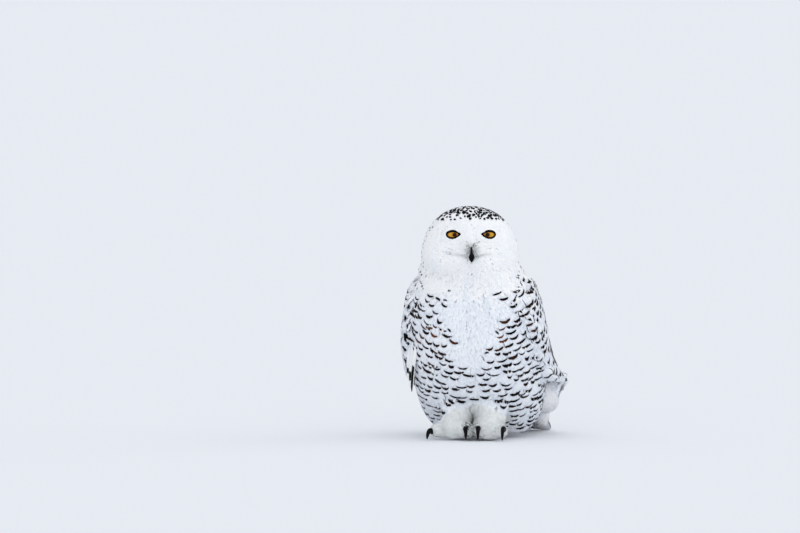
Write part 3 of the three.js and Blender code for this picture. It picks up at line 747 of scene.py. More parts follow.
# Dark marks: each a lens across the feathers, with its middle, directions, half width, half thickness and bow.
def marksOf(*groups):
    marks = {key: np.concatenate([group[key] for group in groups]) for key in groups[0]}
    marks["tree"] = KDTree(len(marks["at"]))
    for i, p in enumerate(marks["at"]):
        marks["tree"].insert(Vector(p), i)
    marks["tree"].balance()
    return marks


def barsOn(points, anchors, marks):  # the bar field of every point, and how rusty each feather's mark is
    def field(off, near):  # how far across and along the mark
        s = np.sum(off * marks["across"][near], -1) / marks["half"][near]
        return s, np.sum(off * marks["flow"][near], -1) + marks["bow"][near] * s * s
    near = np.array([[found[1] for found in marks["tree"].find_n(Vector(a), 4)] for a in anchors])
    s, q = field(anchors[:, None] - marks["at"][near], near)
    chosen = near[np.arange(len(near)), np.argmin(s * s + (q / 4) ** 2, 1)][:, None]
    strength = np.where(np.linalg.norm(anchors[:, None] - marks["at"][chosen], axis=-1) > 16, 0.0, 1.0)
    s, q = field(points - marks["at"][chosen], chosen)
    q = q / marks["thick"][chosen]
    return columns(np.clip(s, -9, 9), np.clip(q, -9, 9), strength), marks["rust"][chosen[:, 0]]


# Contour feathers in rows; every barred one gives a mark that the finer tufts over it carry too.
bodyRows = dict(rise=10.0, across=15.5, length=32.0, width=22.0, sink=3.4, low=1.5)
bodyShape = featherShape([(0, 0, 0), (0.12, 0.42, 0), (0.36, 0.8, 0.0), (0.62, 1.0, 0.03), (0.8, 0.96, 0.09),
                          (0.92, 0.78, 0.13), (0.985, 0.46, 0.12), (1.0, 0, 0)], 8, 32, 20, 0.2, 0.3, barbs=6)


def layBody():
    turns, levels = [], []
    count = int(2 * math.pi * breast["radius"] / bodyRows["across"])
    for row, level in enumerate(np.arange(-140, 300, bodyRows["rise"])):
        turn = (np.arange(count) + 0.5 * (row % 2)) / count * 2 * math.pi - math.pi
        turns.append(turn + rng.normal(0, 0.02, count))
        levels.append(level + rng.normal(0, 1.2, count))
    around = np.concatenate(turns)
    z = rowHeight(np.concatenate(levels), around)
    keep = (z > 5) & (z < 300)
    around, z = around[keep], z[keep]
    turn = around + breast["turn"]
    ways = columns(np.sin(turn), -np.cos(turn), 0)
    tips, normals, ids = firstHit(outerTree, columns(breast["axisX"], axisAt(z), z) + ways * 260, -ways)
    places = wingPlaces(tips)
    keep = (ids >= 0) & coated(tips, places)
    tips, normals, around, places = tips[keep], normals[keep], around[keep], places[keep]
    n = len(tips)
    flow = bodyFlow(tips, normals, around, places)
    short = 0.6 + 0.4 * smoothStep(tips[:, 2], 275, 215)
    length = bodyRows["length"] * varied(n, 0.08) * short
    width = bodyRows["width"] * varied(n, 0.07) * (0.3 + 0.7 * short)
    lowered = tips - normals * (bodyRows["low"] + 0.3 * rng.random(n))[:, None]
    bent = laidBack(bodyShape, lowered, normals, flow, length, width, bodyRows["sink"], hold=0.6)
    return dict(bent=bent, around=around, tips=tips, normals=normals, flow=flow, places=places)


body = layBody()

# Marks with a place of their own: mm across and up from the view's aim, half width, half thickness, and their
# slant in degrees.
strayMarks = [(-64, 89, 5.0, 2.0, -28), (-52, 87, 3.4, 1.4, -12), (-45, 103, 2.6, 1.6, 0),
              (-45, 36, 4.2, 1.6, -35), (36, 32, 4.5, 1.7, -50), (18, -2, 4.0, 1.6, 12),
              (-118, 23, 8.0, 4.2, -82), (-115.5, 13, 3.4, 2.6, -10), (-114, 40, 6.5, 3.0, -80),
              (-119, 55, 6.0, 2.2, -84), (-112.5, 48, 3.0, 2.8, -20), (-121, 4, 5.5, 2.2, -66),
              (-118.5, -17, 5.0, 1.8, -74), (-106, -8, 3.2, 1.3, -30), (-114, 75, 5.0, 2.4, -62),
              (-106, 67, 5.5, 2.6, -52), (-101, 79, 5.5, 3.0, -55), (-109.5, 89, 3.6, 3.0, -50)]


def placedMarks(tree, table, bow=0.0):
    toward, right, up = viewAxes()
    rows = np.array(table, float)
    starts = np.array(view["aim"], float) + rows[:, :1] * right + rows[:, 1:2] * up + toward * 900
    spots, normals, ids = firstHit(tree, starts, np.tile(-toward, (len(rows), 1)), 2000.0)
    slant = np.radians(rows[:, 4:5])
    across = unit(levelled(right * np.cos(slant) + up * np.sin(slant), normals))
    flow = unit(np.cross(normals, across))
    # longer where the surface turns away, so that each keeps its size to the eye
    half, thick = (rows[:, 2 + i] * (1 / np.clip(np.hypot(way @ right, way @ up), 0.4, 1))
                   for i, way in enumerate((across, flow)))
    made = dict(at=spots, across=across, flow=flow, half=half, thick=thick, bow=bow + 0 * half, rust=0 * half)
    return {key: value[ids >= 0] for key, value in made.items()}


def bodyMarks():
    tips, around, places = body["tips"], np.abs(body["around"]), body["places"]
    x, y, z = tips.T
    # half the turn of the pure white bib
    bib = np.interp(z, [60, 80, 112, 155, 189, 240, 262], [0.0, 0.03, 0.1, 0.24, 0.4, 0.68, 1.0])
    shown = np.where(around > bib, 0.9, np.where(around > 0.55 * bib, 0.07, 0.0))
    shown = shown * (1 - smoothStep(z + 16 * smoothStep(around, 1.2, 1.9), 268, 288))
    shown = shown * np.where(around > 1.9, 0.85, 1.0)
    shown = np.where((np.abs(x - 4) < 17) & (z < 67), 0.0, shown)  # none between the legs
    ownMarks = (places[:, 0] == 1) & (places[:, 2] < -0.5) & (z < 232)  # the front of the right wing
    shown = np.where(ownMarks, 0.0, shown)
    loose = (y > 140) | ((y > 105) & (np.abs(x) > 62))
    shown = np.where(loose & (z < 88), 0.05, shown)  # few round the vent
    finer = (body["around"] < -0.4) & (z > 222)  # smaller and fewer on the right shoulder
    shown = np.where(finer, 0.7 * shown, shown)
    chosen = rng.random(len(tips)) < shown
    m = chosen.sum()
    finer = finer[chosen]
    onWing = (places[chosen, 0] >= 0) & (places[chosen, 1] > 0.08)
    half = np.clip(8.7 * varied(m, 0.2), 4.5, 11.5) * np.where(onWing | finer, 0.8, 1)
    thick = np.clip(2.35 * varied(m, 0.22), 1.4, 3.4) * np.where(onWing, 1.3, 1) * np.where(finer, 0.75, 1)
    flow = body["flow"][chosen]
    across = unit(np.cross(flow, body["normals"][chosen]))
    lean = rng.normal(0, 0.12, m)[:, None]
    across, flow = across * np.cos(lean) + flow * np.sin(lean), flow * np.cos(lean) - across * np.sin(lean)
    rusty = rng.random(m) < 0.4
    rust = 0.65 * bell(z[chosen], 172, 24) * bell(around[chosen], 0.6, 0.4) * rusty + 0.1 * rng.random(m)
    at = tips[chosen] - flow * (4.4 + 1.3 * rng.normal(0, 1, m))[:, None]
    rows = dict(at=at, across=across, flow=flow, half=half, thick=thick, bow=3.0 * varied(m, 0.3), rust=rust)
    return marksOf(rows, placedMarks(outerTree, strayMarks, 0.8))


barred = bodyMarks()


def scattered(points, faces, gap, tries):  # an even scatter over triangles, none nearer to another than gap
    corners = points[faces]
    area = np.linalg.norm(np.cross(corners[:, 1] - corners[:, 0], corners[:, 2] - corners[:, 0]), axis=-1)
    picked = rng.choice(len(faces), tries, p=area / area.sum())
    spots = (corners[picked] * rng.dirichlet((1, 1, 1), tries)[:, :, None]).sum(1)
    cells, kept = {}, []
    around = [(i, j, k) for i in (-1, 0, 1) for j in (-1, 0, 1) for k in (-1, 0, 1)]
    for spot in spots.tolist():
        i, j, k = (int(c // gap) for c in spot)
        near = [other for di, dj, dk in around for other in cells.get((i + di, j + dj, k + dk), ())]
        if all(math.dist(spot, other) > gap for other in near):
            cells.setdefault((i, j, k), []).append(spot)
            kept.append(spot)
    return np.array(kept)


def scatteredOn(mesh, wanted, coat):  # over the triangles whose middles are wanted, in bird mm
    points = toBird(meshPoints(mesh))
    corners = [p.vertices[:] for p in mesh.polygons]
    halves = [half for c in corners for half in ((c[0], c[1], c[2]), (c[0], c[2], c[-1]))]
    faces = np.array([half for half in halves if len(set(half)) == 3])
    return scattered(points, faces[wanted(points[faces].mean(1))], coat["gap"], coat["tries"])


# Fine tufts over all of the body's coat.
fleece = dict(gap=3.3, tries=60000, length=16.0, width=7.2, sink=1.7)
fleeceShape = featherShape([(0, 0, 0), (0.22, 0.62, 0), (0.58, 1.0, 0.0), (0.85, 0.74, 0.04), (1.0, 0, 0)],
                           6, 14.5, 6.6, 0.1, 0.2, barbs=8, barbLength=3.4, barbFrom=0.5, barbWide=0.16,
                           seed=4)


def layFleece():
    tips = scatteredOn(outerMesh, lambda middle: (middle[:, 2] > 7) & (headLocal(middle)[:, 2] < -14), fleece)
    tips, normals, _ = nearest(outerTree, tips)
    places = wingPlaces(tips)
    keep = coated(tips, places, 7.0)
    tips, normals, places = tips[keep], normals[keep], places[keep]
    around = aroundOf(tips)
    n = len(tips)
    flow = bodyFlow(tips, normals, around, places)
    anchors = tips - flow * 3.0
    flow = unit(flow + rng.normal(0, 0.13, (n, 3)))
    length, width = fleece["length"] * varied(n, 0.16), fleece["width"] * varied(n, 0.14)
    raised = tips + normals * (0.1 + 0.22 * rng.random(n))[:, None]
    bent = laidBack(fleeceShape, raised, normals, flow, length, width, fleece["sink"], 0.04, 0.1, 0.1)
    bar, rust = barsOn(bent[0], anchors, barred)
    return dict(bent=bent, tips=tips, around=around, bar=bar, tint=columns(rust, rng.random(n), 0))


tufts = layFleece()


# Part of the body's coat, its map the surface unrolled.
def coatPiece(name, material, stands, tips, around, **group):
    across = (around - around.min()) / (around.max() - around.min())
    group["corner"] = columns(across, np.clip(tips[:, 2] / 305, 0, 1)) * 0.95
    addPiece(name, joinedMesh(name, [group], ["bar", "tint"]), material, stands)


def bodyPiece(name, chosen):
    bent, tips, around = chosenOf(body["bent"], chosen), body["tips"][chosen], body["around"][chosen]
    bar, rust = barsOn(bent[0], tips - body["flow"][chosen] * 4, barred)
    coatPiece(name, plumage, ["torso"], tips, around, shape=bodyShape, bent=bent, patch=0.024, bar=bar,
              tint=columns(rust, rng.random(len(rust)), 0))


def tuftPiece(name, chosen, material=plumage):
    bar, tint, tips, around = (tufts[key][chosen] for key in ("bar", "tint", "tips", "around"))
    coatPiece(name, material, ["torso", "neck"], tips, around, shape=fleeceShape, patch=0.011,
              bent=chosenOf(tufts["bent"], chosen), bar=bar, tint=tint)


front = np.abs(body["around"]) < 1.6
bodyPiece("coat_breast", front)
bodyPiece("coat_back", ~front)
turn, (_, tuftY, tuftZ) = tufts["around"], tufts["tips"].T
# Throat tufts take the head's lighter white, more of them higher up, so that its painted light fades down the
# neck.
throat = (np.abs(turn) < 1.5) & (rng.random(len(turn)) < smoothStep(tuftZ, 215, 270))
vent = (tuftY > 110) & (tuftZ < 95)
for pieceName, low, high in (("fleece_right", -1.5, -0.55), ("fleece_breast", -0.55, 0.55),
                             ("fleece_left", 0.55, 1.5)):
    tuftPiece(pieceName, (turn >= low) & (turn < high) & ~throat)
tuftPiece("fleece_throat", throat, paintedLightWhite)
tuftPiece("fleece_back_right", (turn < -1.5) & ~vent)
tuftPiece("fleece_back_left", (turn >= 1.5) & ~vent)
# The vent lies in shade: its tufts take the lighter white, painted light.
tuftPiece("fleece_vent", (np.abs(turn) > 1.5) & vent, paintedLightWhite)
print("body feathers laid,", len(body["tips"]), "and tufts", len(turn))

# Eyes: their axes and the almond between the lids.
skyward = np.array([0.0, 0.0, 1.0])
eyeForm = dict(cornea=0.9, corneaSpread=0.62, lidHalf=9.5, lidUp=4.3, lidDown=4.1)


def eyeFrame(sign):  # the ball's centre, the way it looks, and the lids' axes, in bird mm
    lid = math.radians(head["lidTurn"]) * sign
    ahead = headWay([math.sin(lid), -math.cos(lid), 0.0])
    outward = headWay([math.cos(lid) * sign, math.sin(lid) * sign, 0.0])
    return headPoint(np.array(head["eyeAt"]) * [sign, 1, 1]), headWay([-0.15 * sign, -1, 0.0]), ahead, outward


def almond(turn):  # the lids' edge: inner corner pointed at turn = pi, outer end rounded
    c, s = math.cos(turn), math.sin(turn)
    lean = 1 - 0.42 * max(0.0, -c) ** 2.2
    y = (eyeForm["lidUp"] if s > 0 else eyeForm["lidDown"]) * s * lean + 0.9 * max(0.0, -c) ** 2
    return eyeForm["lidHalf"] * c, y


def runOn(root, flow, length):  # where feathers end on the skin's form, and where their middles lie over it
    tips, nTip, _ = nearest(formTree, root + flow * length[:, None])
    middle, nMiddle, _ = nearest(formTree, root + flow * length[:, None] * 0.5)
    return tips, nTip, middle, nMiddle


# Small dense feathers of the head run back from the bill and keep clear of the eyes.
headCoat = dict(gap=2.5, tries=42000, length=12.0, width=5.8, sink=1.9)
headShape = featherShape([(0, 0, 0), (0.2, 0.6, 0), (0.55, 1.0, 0.02), (0.85, 0.8, 0.07), (1.0, 0, 0)],
                         6, 12.5, 6.0, 0.15, 0.22, barbs=6, barbLength=2.6, barbFrom=0.6, barbWide=0.15,
                         seed=3)


def layHead():
    root = scatteredOn(formMesh, lambda middle: headLocal(middle)[:, 2] > -44, headCoat)
    root, nRoot, _ = nearest(formTree, root)
    local = headLocal(root)
    x, y, z = local.T
    billHalf = np.interp(z, [-5, -2, 1, 4, 7, 10, 14, 19, 23], [0, 1.6, 3.8, 6.0, 6.0, 3.6, 1.6, 1.1, 0])
    onBill = (np.abs(x) < billHalf) & (y < -60)
    root, nRoot, local = root[~onBill], nRoot[~onBill], local[~onBill]
    flow = root - headPoint(head["bill"]) - skyward * 25 * smoothStep(-local[:, 2], -10, 30)[:, None]
    flow = unit(levelled(flow, nRoot))
    face = smoothStep(-local[:, 1], 30, 62)
    n = len(root)
    length = headCoat["length"] * (1 - 0.18 * face) * varied(n, 0.12)
    length = length * (1 + 0.6 * smoothStep(-local[:, 2], 10, 40))
    width = headCoat["width"] * (1 - 0.1 * face) * varied(n, 0.1)
    tips, nTip, middle, nMiddle = runOn(root, flow, length)
    off = np.minimum(eyeOff(headLocal(tips)), np.minimum(eyeOff(headLocal(middle)), eyeOff(local)))
    clear = off > 1.62
    at, normals = tips[clear], nTip[clear]
    root = root - nRoot * headCoat["sink"] * (1 - 0.4 * face)[:, None]
    tips = tips + nTip * ((0.3 - 0.2 * face) * rng.random(n))[:, None]
    bent = bendAlong(headShape, root, middle - nMiddle * 0.2, tips, nRoot, nTip, width,
                     rng.normal(0, 0.04, n), rng.normal(0, 0.1, n))
    return dict(bent=chosenOf(bent, clear), at=at, normals=normals, flow=flow[clear], local=headLocal(at))


crown = layHead()


# Rings of tiny feathers that stand out from the lids' edge like rays.
def layEyeRings():
    roots, ways, sinks = [], [], []
    for sign in (-1, 1):
        centre, _, ahead, outward = eyeFrame(sign)
        for grow, count, sink in ((2.0, 50, 0.9), (4.2, 56, 0.8), (6.6, 62, 0.8), (9.2, 68, 0.9),
                                  (11.8, 76, 1.0)):
            turn = (np.arange(count) + 0.6 * rng.random(count)) / count * 2 * math.pi
            edge = np.array([almond(t) for t in turn])
            ray = columns(np.cos(turn), np.sin(turn))
            # fuller at the inner corner, and outwards above
            fuller = 2.0 * np.maximum(-np.cos(turn), 0) ** 8 + 0.5 * np.maximum(np.cos(turn - 0.7), 0)
            aside = edge + ray * (grow + fuller * (grow < 4))[:, None]
            roots.append(centre + outward * aside[:, :1] + skyward * aside[:, 1:] + ahead * 14.5)
            ways.append(outward * ray[:, :1] + skyward * ray[:, 1:])
            sinks.append(np.full(count, sink))
    root, nRoot, _ = nearest(formTree, np.concatenate(roots))
    flow = levelled(np.concatenate(ways), nRoot)
    flow = unit(flow + rng.normal(0, 0.08, flow.shape))
    n = len(root)
    tips, nTip, middle, _ = runOn(root, flow, 7.0 * varied(n, 0.12))
    sink = np.concatenate(sinks)[:, None]
    bent = bendAlong(headShape, root - nRoot * sink, middle - nRoot * 0.3, tips + nTip * 0.3, nRoot, nTip,
                     3.3 * varied(n, 0.1), rng.normal(0, 0.05, n), rng.normal(0, 0.08, n))
    return dict(bent=bent, local=headLocal(root))


eyeRings = layEyeRings()


def fleckCentres(allowed, gap, count):  # feathers picked in turn so that no two flecks run together
    picked = []
    for i in rng.permutation(np.nonzero(allowed)[0]):
        if all(np.sum((crown["at"][i] - crown["at"][j]) ** 2) > gap * gap for j in picked):
            picked.append(i)
        if len(picked) == count:
            break
    return np.array(picked)


# Flecks that bunch at the corners of the crown, placed as the stray marks are.
crownCorners = [(-60.0, 228.5, 5.4, 3.0, 20), (-56.5, 224.0, 3.2, 1.8, 10), (-52.5, 231, 3.4, 2.0, 0),
                (-63, 224.5, 3.0, 2.4, 40), (37.5, 229.5, 3.0, 3.0, 0), (42.5, 228, 3.6, 3.4, -30),
                (46.0, 223.5, 3.0, 3.4, -40), (31.5, 231, 2.8, 2.2, 0)]


def headMarks():
    x, y, z = crown["local"].T
    cap = (z > 69.0 - 0.06 * np.abs(x)) & (y < 34)
    rear = (y > -8) & (z > -27) & ~cap
    temple = (x < -60) & (y > -24) & (z > -34) & (z < 62) & ~rear
    at, half, thick = [], [], []
    for allowed, gap, count, wide, tall in ((cap, 6.1, 300, 3.3, 4.6), (rear, 9.0, 220, 2.2, 2.0),
                                            (temple, 8.0, 30, 1.4, 1.9)):
        picked = fleckCentres(allowed, gap, count)
        grown = varied(len(picked), 0.22)
        grown = np.where(z[picked] < 73, grown * 0.7, grown) if allowed is cap else grown
        at.append(picked)
        half.append(wide * np.clip(grown, 0.5, 1.6))
        thick.append(tall * np.clip(grown + 0.15 * rng.normal(0, 1, len(picked)), 0.5, 1.6))
    at, half, thick = np.concatenate(at), np.concatenate(half), np.concatenate(thick)
    normals = crown["normals"][at]
    flow = levelled(crown["flow"][at], normals)
    flow = unit(flow + rng.normal(0, 0.25, flow.shape))
    rows = dict(at=crown["at"][at], across=unit(np.cross(flow, normals)), flow=flow, half=half, thick=thick,
                bow=0 * half, rust=0 * half)
    return marksOf(rows, placedMarks(formTree, crownCorners))


# The face's grey: grey bristle bases round the bill, a painted shadow along the gape under the bristles, and a
# grey spot above that line on the bird's right.
def faceGreyAndShadow(local):  # grey bristle bases round the bill and the faint line that runs out from the gape
    x, y, z = (local[..., i] for i in range(3))
    # painted shadow along the gape
    gape = bell(z, 5.0 + 4 * smoothStep(np.abs(x), 5, 25), 2.6 + 1.2 * bell(x, 0, 9))
    line = 0.38 * gape * smoothStep(46 - np.abs(x), 0, 34)
    bridge = 0.24 * bell(x, 0, 15) * bell(z, 18, 13)
    spot = 0.3 * bell(x, -37, 6) * bell(z, 12, 2.4)
    return np.clip(np.maximum(np.maximum(line, bridge), spot), 0, 1) * (y < -45)


def headPiece(name, chosen, extra=()):
    bent = chosenOf(crown["bent"], chosen)
    bar, rust = barsOn(bent[0], crown["at"][chosen] - crown["flow"][chosen] * 2.5, flecks)
    rows = [(bent, crown["local"][chosen], bar, rust[:, None])]
    rows += [(ring["bent"], ring["local"], (0, 0, 0), 0.0) for ring in extra]
    groups = []
    for bent, local, bar, rust in rows:
        x, y, z = local.T
        polar = np.arctan2(np.hypot(x, z), -y if name == "coat_face" else y)
        turn = np.arctan2(z, x)
        corner = 0.5 + 0.46 * (polar / 1.9)[:, None] * columns(np.cos(turn), np.sin(turn))
        # the third number greys the face, partly with painted shadow along the gape
        tint = columns(rust, rng.random(len(x))[:, None], faceGreyAndShadow(headLocal(bent[0])))
        groups.append(dict(shape=headShape, bent=bent, corner=corner, patch=0.009, bar=bar, tint=tint))
    addPiece(name, joinedMesh(name, groups, ["bar", "tint"]), paintedLightWhite, ["head"])


flecks = headMarks()
facing = crown["local"][:, 1] < 8
headPiece("coat_face", facing, [eyeRings])
headPiece("coat_nape", ~facing)
print("head feathers laid,", len(facing), "and flecks", len(flecks["at"]))

# Legs and feet: soft hair-like feathers down to the claws. Each toe has its turn and its reach, in degrees and
# mm, then its claw's turn and the height of the claw's root.
feet = dict(
    left=dict(ankle=(34, -26, 22), toes=dict(inner=(-31, 33, 12, 20), middle=(49, 42, 5, 20),
                                             outer=(160, 24, 160, 17), hind=(206, 18, 206, 17))),
    right=dict(ankle=(-28, -26, 22), toes=dict(inner=(42, 38, 18, 19), middle=(-59, 43, -18, 14),
                                               outer=(-150, 24, -150, 17), hind=(-204, 18, -204, 17))))
legCoat = dict(gap=2.2, tries=30000, length=13.0, width=4.2, sink=1.6)
legShape = featherShape([(0, 0, 0), (0.25, 0.75, 0), (0.6, 1.0, 0), (0.85, 0.6, 0.03), (1.0, 0, 0)],
                        6, 14, 4.0, 0.25, 0.35, barbs=6, barbLength=3.4, barbFrom=0.45, barbWide=0.14,
                        seed=5)


def onFoot(middle):
    low = (middle[:, 2] < footTop(middle[:, 0]) + 3) & (middle[:, 1] < 14) & (middle[:, 2] > 2.5)
    return low & ~((middle[:, 2] > 44) & (middle[:, 1] > -14))


def layLegs():
    root, nRoot, _ = nearest(formTree, scatteredOn(formMesh, onFoot, legCoat))
    ankle = np.where(root[:, :1] > 3, *(np.array(feet[side]["ankle"], float) for side in ("left", "right")))
    low = smoothStep(root[:, 2], 48, 20)
    outwards = unit((root - ankle) * [1, 1, 0]) * (0.1 + 0.8 * low)[:, None]
    flow = np.array([0.0, -0.15, -1.0]) * (1 - 0.72 * low)[:, None] + outwards
    flow = unit(levelled(flow, nRoot, 0.95))
    n = len(root)
    length = legCoat["length"] * (1 - 0.4 * low) * varied(n, 0.15)
    tips, nTip, middle, nMiddle = runOn(root, flow, length)
    # fuller where the legs face each other
    between = 9.5 * bell(tips[:, 0], 4, 10) * (0.5 + 0.5 * smoothStep(tips[:, 2], 4, 14))
    tips = tips + nTip * (0.3 + 0.8 * rng.random(n) + between)[:, None]
    middle = middle + nMiddle * (between[:, None] * 0.7 - 0.4)
    width = legCoat["width"] * (1 - 0.2 * low) * varied(n, 0.15)
    bent = bendAlong(legShape, root - nRoot * legCoat["sink"], middle, tips, nRoot, nTip, width,
                     rng.normal(0, 0.1, n), rng.normal(0, 0.15, n))
    return bent, tips


legBent, legTips = layLegs()
for footSide, sign in (("left", 1), ("right", -1)):
    chosen = (legTips[:, 0] - 3) * sign > 0
    x, y, z = legTips[chosen].T
    turn = np.arctan2(x - feet[footSide]["ankle"][0], -(y + 26))
    corner = columns((turn / (2 * math.pi) + 0.5) * 0.96, np.clip(z / 95, 0, 1) * 0.96)
    group = dict(shape=legShape, bent=chosenOf(legBent, chosen), corner=corner, patch=0.014, bar=(0, 0, 0),
                 tint=columns(0, rng.random(len(x)), 0))
    pieceName = "down_leg_" + footSide
    addPiece(pieceName, joinedMesh(pieceName, [group], ["bar", "tint"]), legDown,
             ["leg_" + footSide, "foot_" + footSide])
print("leg down laid,", len(legTips))

# Wing feathers in tiers from the lowest up: primaries, secondaries, tertials, greater and median coverts, then
# long to short scapulars. Root and tip give u, v and h of a tier's first and last feather, mark the chance,
# half thickness and place of its bar, ladder the number and half thickness of the rungs.
longShape = featherShape([(0, 0, 0), (0.06, 0.4, 0), (0.2, 0.75, 0), (0.34, 0.9, 0), (0.48, 0.98, 0),
                          (0.62, 1.0, 0.005), (0.75, 0.98, 0.015), (0.86, 0.9, 0.03), (0.94, 0.72, 0.045),
                          (0.985, 0.42, 0.04), (1, 0, 0)],
                         8, 120, 26, 1.5, 0.7, barbs=14, barbLength=5.0, barbFrom=0.7, seed=8)
coverShape = featherShape([(0, 0, 0), (0.12, 0.5, 0), (0.34, 0.85, 0), (0.58, 1.0, 0.02), (0.78, 0.97, 0.06),
                           (0.91, 0.8, 0.09), (0.98, 0.46, 0.08), (1, 0, 0)],
                          8, 60, 26, 1.6, 0.7, barbs=14, barbLength=5.0, barbFrom=0.6, seed=9)
wingTiers = [
    dict(shape=longShape, count=9, width=25, root=((0.33, 0.26), (-0.72, 0.1), (-6, -3)), roll=2, bulge=0.085,
         tip=((0.94, 0.86), (-0.62, 0.74), (-7, 0.5)), mark=(1.0, 0.02, 0.95), ladder=(4.4, 0.1)),
    dict(shape=longShape, count=12, width=30, root=((0.3, 0.2), (-0.72, 0.86), (-4.5, -3)),
         tip=((0.58, 0.83), (-0.94, 0.88), (0.2, 2.6)), mark=(0.9, 0.02, 0.93), ladder=(3.3, 0.1)),
    dict(shape=longShape, count=5, width=34, root=((0.2, 0.12), (0.36, 0.92), (-2.5, -2.5)),
         tip=((0.66, 0.71), (0.38, 0.98), (3.4, 4.4)), mark=(0.9, 0.025, 0.92), ladder=(3.2, 0.1)),
    dict(shape=coverShape, count=13, width=25, root=((0.18, 0.14), (-0.88, 0.8), (-3, -3)),
         tip=((0.52, 0.6), (-1.0, 0.8), (1.4, 3.2)), mark=(0.8, 0.042, 0.84), ladder=(2.0, 0.08)),
    dict(shape=coverShape, count=13, width=23, root=((0.12, 0.1), (-0.86, 0.86), (-3, -3)),
         tip=((0.44, 0.48), (-1.0, 0.88), (2.6, 4.0)), mark=(0.8, 0.045, 0.84), ladder=(0.0, -1.0)),
    dict(shape=coverShape, count=6, width=17, root=((0.32, 0.34), (0.62, 0.97), (0.5, 0.5)),
         tip=((0.6, 0.6), (0.62, 0.97), (5.4, 6.0)), mark=(1.0, 0.04, 0.86), ladder=(2.0, 0.08)),
    dict(shape=coverShape, count=6, width=16, root=((0.2, 0.22), (0.64, 0.97), (0.5, 0.5)),
         tip=((0.47, 0.48), (0.64, 0.97), (6.0, 6.6)), mark=(1.0, 0.045, 0.86), ladder=(0.0, -1.0)),
    dict(shape=coverShape, count=5, width=15, root=((0.1, 0.12), (0.68, 0.95), (0.5, 0.5)),
         tip=((0.35, 0.36), (0.68, 0.95), (6.4, 7.0)), mark=(1.0, 0.05, 0.86), ladder=(0.0, -1.0))]
wingGrid, tailGrid = (10, 0.1, 0.094), (6, 0.16, 0.15)  # squares in a row of the map, their step and side


def rampedEnds(ends, k):
    return [low + (high - low) * k for low, high in ends]


def laidVanes(chart, shape, start, end, width, roll, sway):  # start and end are u, v and h on the chart
    (u0, v0, h0), (u1, v1, h1) = start, end
    root, nRoot = chart(u0, v0, h0)
    middle, _ = chart((u0 + u1) / 2, (v0 + v1) / 2, h0 + (h1 - h0) * 0.75)
    tip, nTip = chart(u1, v1, h1)
    return bendAlong(shape, root, middle, tip, nRoot, nTip, width, roll, sway)


def vaneGroup(shape, bent, mark, ladder, tint, first, grid):
    across, step, patch = grid
    cell = first + np.arange(len(bent[0]))
    corner = columns((cell % across) * step, (cell // across) * step)
    return dict(shape=shape, bent=bent, corner=corner, patch=patch, mark=mark, ladder=ladder, tint=tint)


def layWing(side):
    groups, used = [], 0
    for tier in wingTiers:
        n = tier["count"]
        k = np.linspace(0, 1, n)
        start, (u1, v1, h1) = rampedEnds(tier["root"], k), rampedEnds(tier["tip"], k)
        u1 = u1 + tier.get("bulge", 0.0) * np.sin(math.pi * k) + rng.normal(0, 0.01, n)
        v1 = v1 + rng.normal(0, 0.012, n)
        shows = v1 > -0.15 if side == "left" else (v1 > -0.45) | (u1 > 0.66)  # soft coverts hide the rest
        shows &= (u1 > 0.53) | (v1 < 0.4) | (h1 > 5)  # and so do the scapulars
        u0, v0, h0, u1, v1, h1 = (a[shows] for a in (*start, u1, v1, h1))
        n = len(u0)
        width = tier["width"] * varied(n, 0.05)
        roll = math.radians(tier.get("roll", 4)) * flips[side][0]
        bent = laidVanes(charts[side], tier["shape"], (u0, v0, h0), (u1, v1, h1), width,
                         roll + rng.normal(0, 0.02, n), rng.normal(0, 0.04, n))
        chance, thick, place = tier["mark"]
        marked = (rng.random(n) < chance) & ((v1 > 0.08) | (side == "right"))
        mark = columns(np.where(marked, 1.0, 0.0), thick * varied(n, 0.25), place)
        ladder = columns(*tier["ladder"], rng.random(n))
        tint = columns(0.3 * rng.random(n), rng.random(n), 0)
        groups.append(vaneGroup(tier["shape"], bent, mark, ladder, tint, used, wingGrid))
        used += n
    return groups, used


# Pale first primaries along the wing's lower edge, lying on the flank: root, middle and tip in mm across and
# up from the view's aim, then the width, the lift, the mark's half thickness and how far the tip lies back.
leadingLines = [((-97, 50), (-101.5, -12), (-106, -70), 8.5, 3.0, 0.2, 16),
                ((-103, 46), (-106.5, -10), (-108.5, -64), 10.0, 2.3, 0.08, 18),
                ((-109, 38), (-111.5, -6), (-112.5, -52), 11.0, 1.6, 0.06, 20)]


def leadingVanes(used):
    roots, middles, tips, width, lift, thick, back = (np.array(part, float) for part in zip(*leadingLines))
    tables = [[(*spot, 1, 1, 0) for spot in spots] for spots in (roots, middles)]
    root, middle = (placedMarks(outerTree, table)["at"] for table in tables)
    toward, right, up = viewAxes()
    reach = tips - middles
    tip = middle + reach[:, :1] * right + reach[:, 1:] * up - back[:, None] * toward
    away = unit(np.tile([-0.5, -0.86, 0.0], (len(root), 1)))
    rise = away * lift[:, None]
    bent = bendAlong(longShape, root - away * 4, middle + rise, tip + rise, away, away, width, 0.0, 0.02)
    return vaneGroup(longShape, bent, columns(1.0, thick, 0.8), (0, -1, 0), (0, 0.6, 0), used, wingGrid)


def wingCore(side):  # the arm and hand under the feathers, a closed slab on the chart
    bm, _, _ = wingSheet(side, 0.72, 0.86, lambda u, v: -3.0 - 3.0 * u, (22, 14))
    bmesh.ops.recalc_face_normals(bm, faces=bm.faces)
    bmesh.ops.solidify(bm, geom=bm.faces[:], thickness=0.0022)
    bmesh.ops.recalc_face_normals(bm, faces=bm.faces)
    mesh = meshFrom(bm, "wing_core_" + side)
    _, y, z = toBird(meshPoints(mesh)).T
    cornerMap(mesh, "OFBake", columns(np.clip((y + 80) / 320, 0, 1), np.clip(z / 300, 0, 1)))
    addPiece("wing_core_" + side, mesh, down, ["wing_" + side])


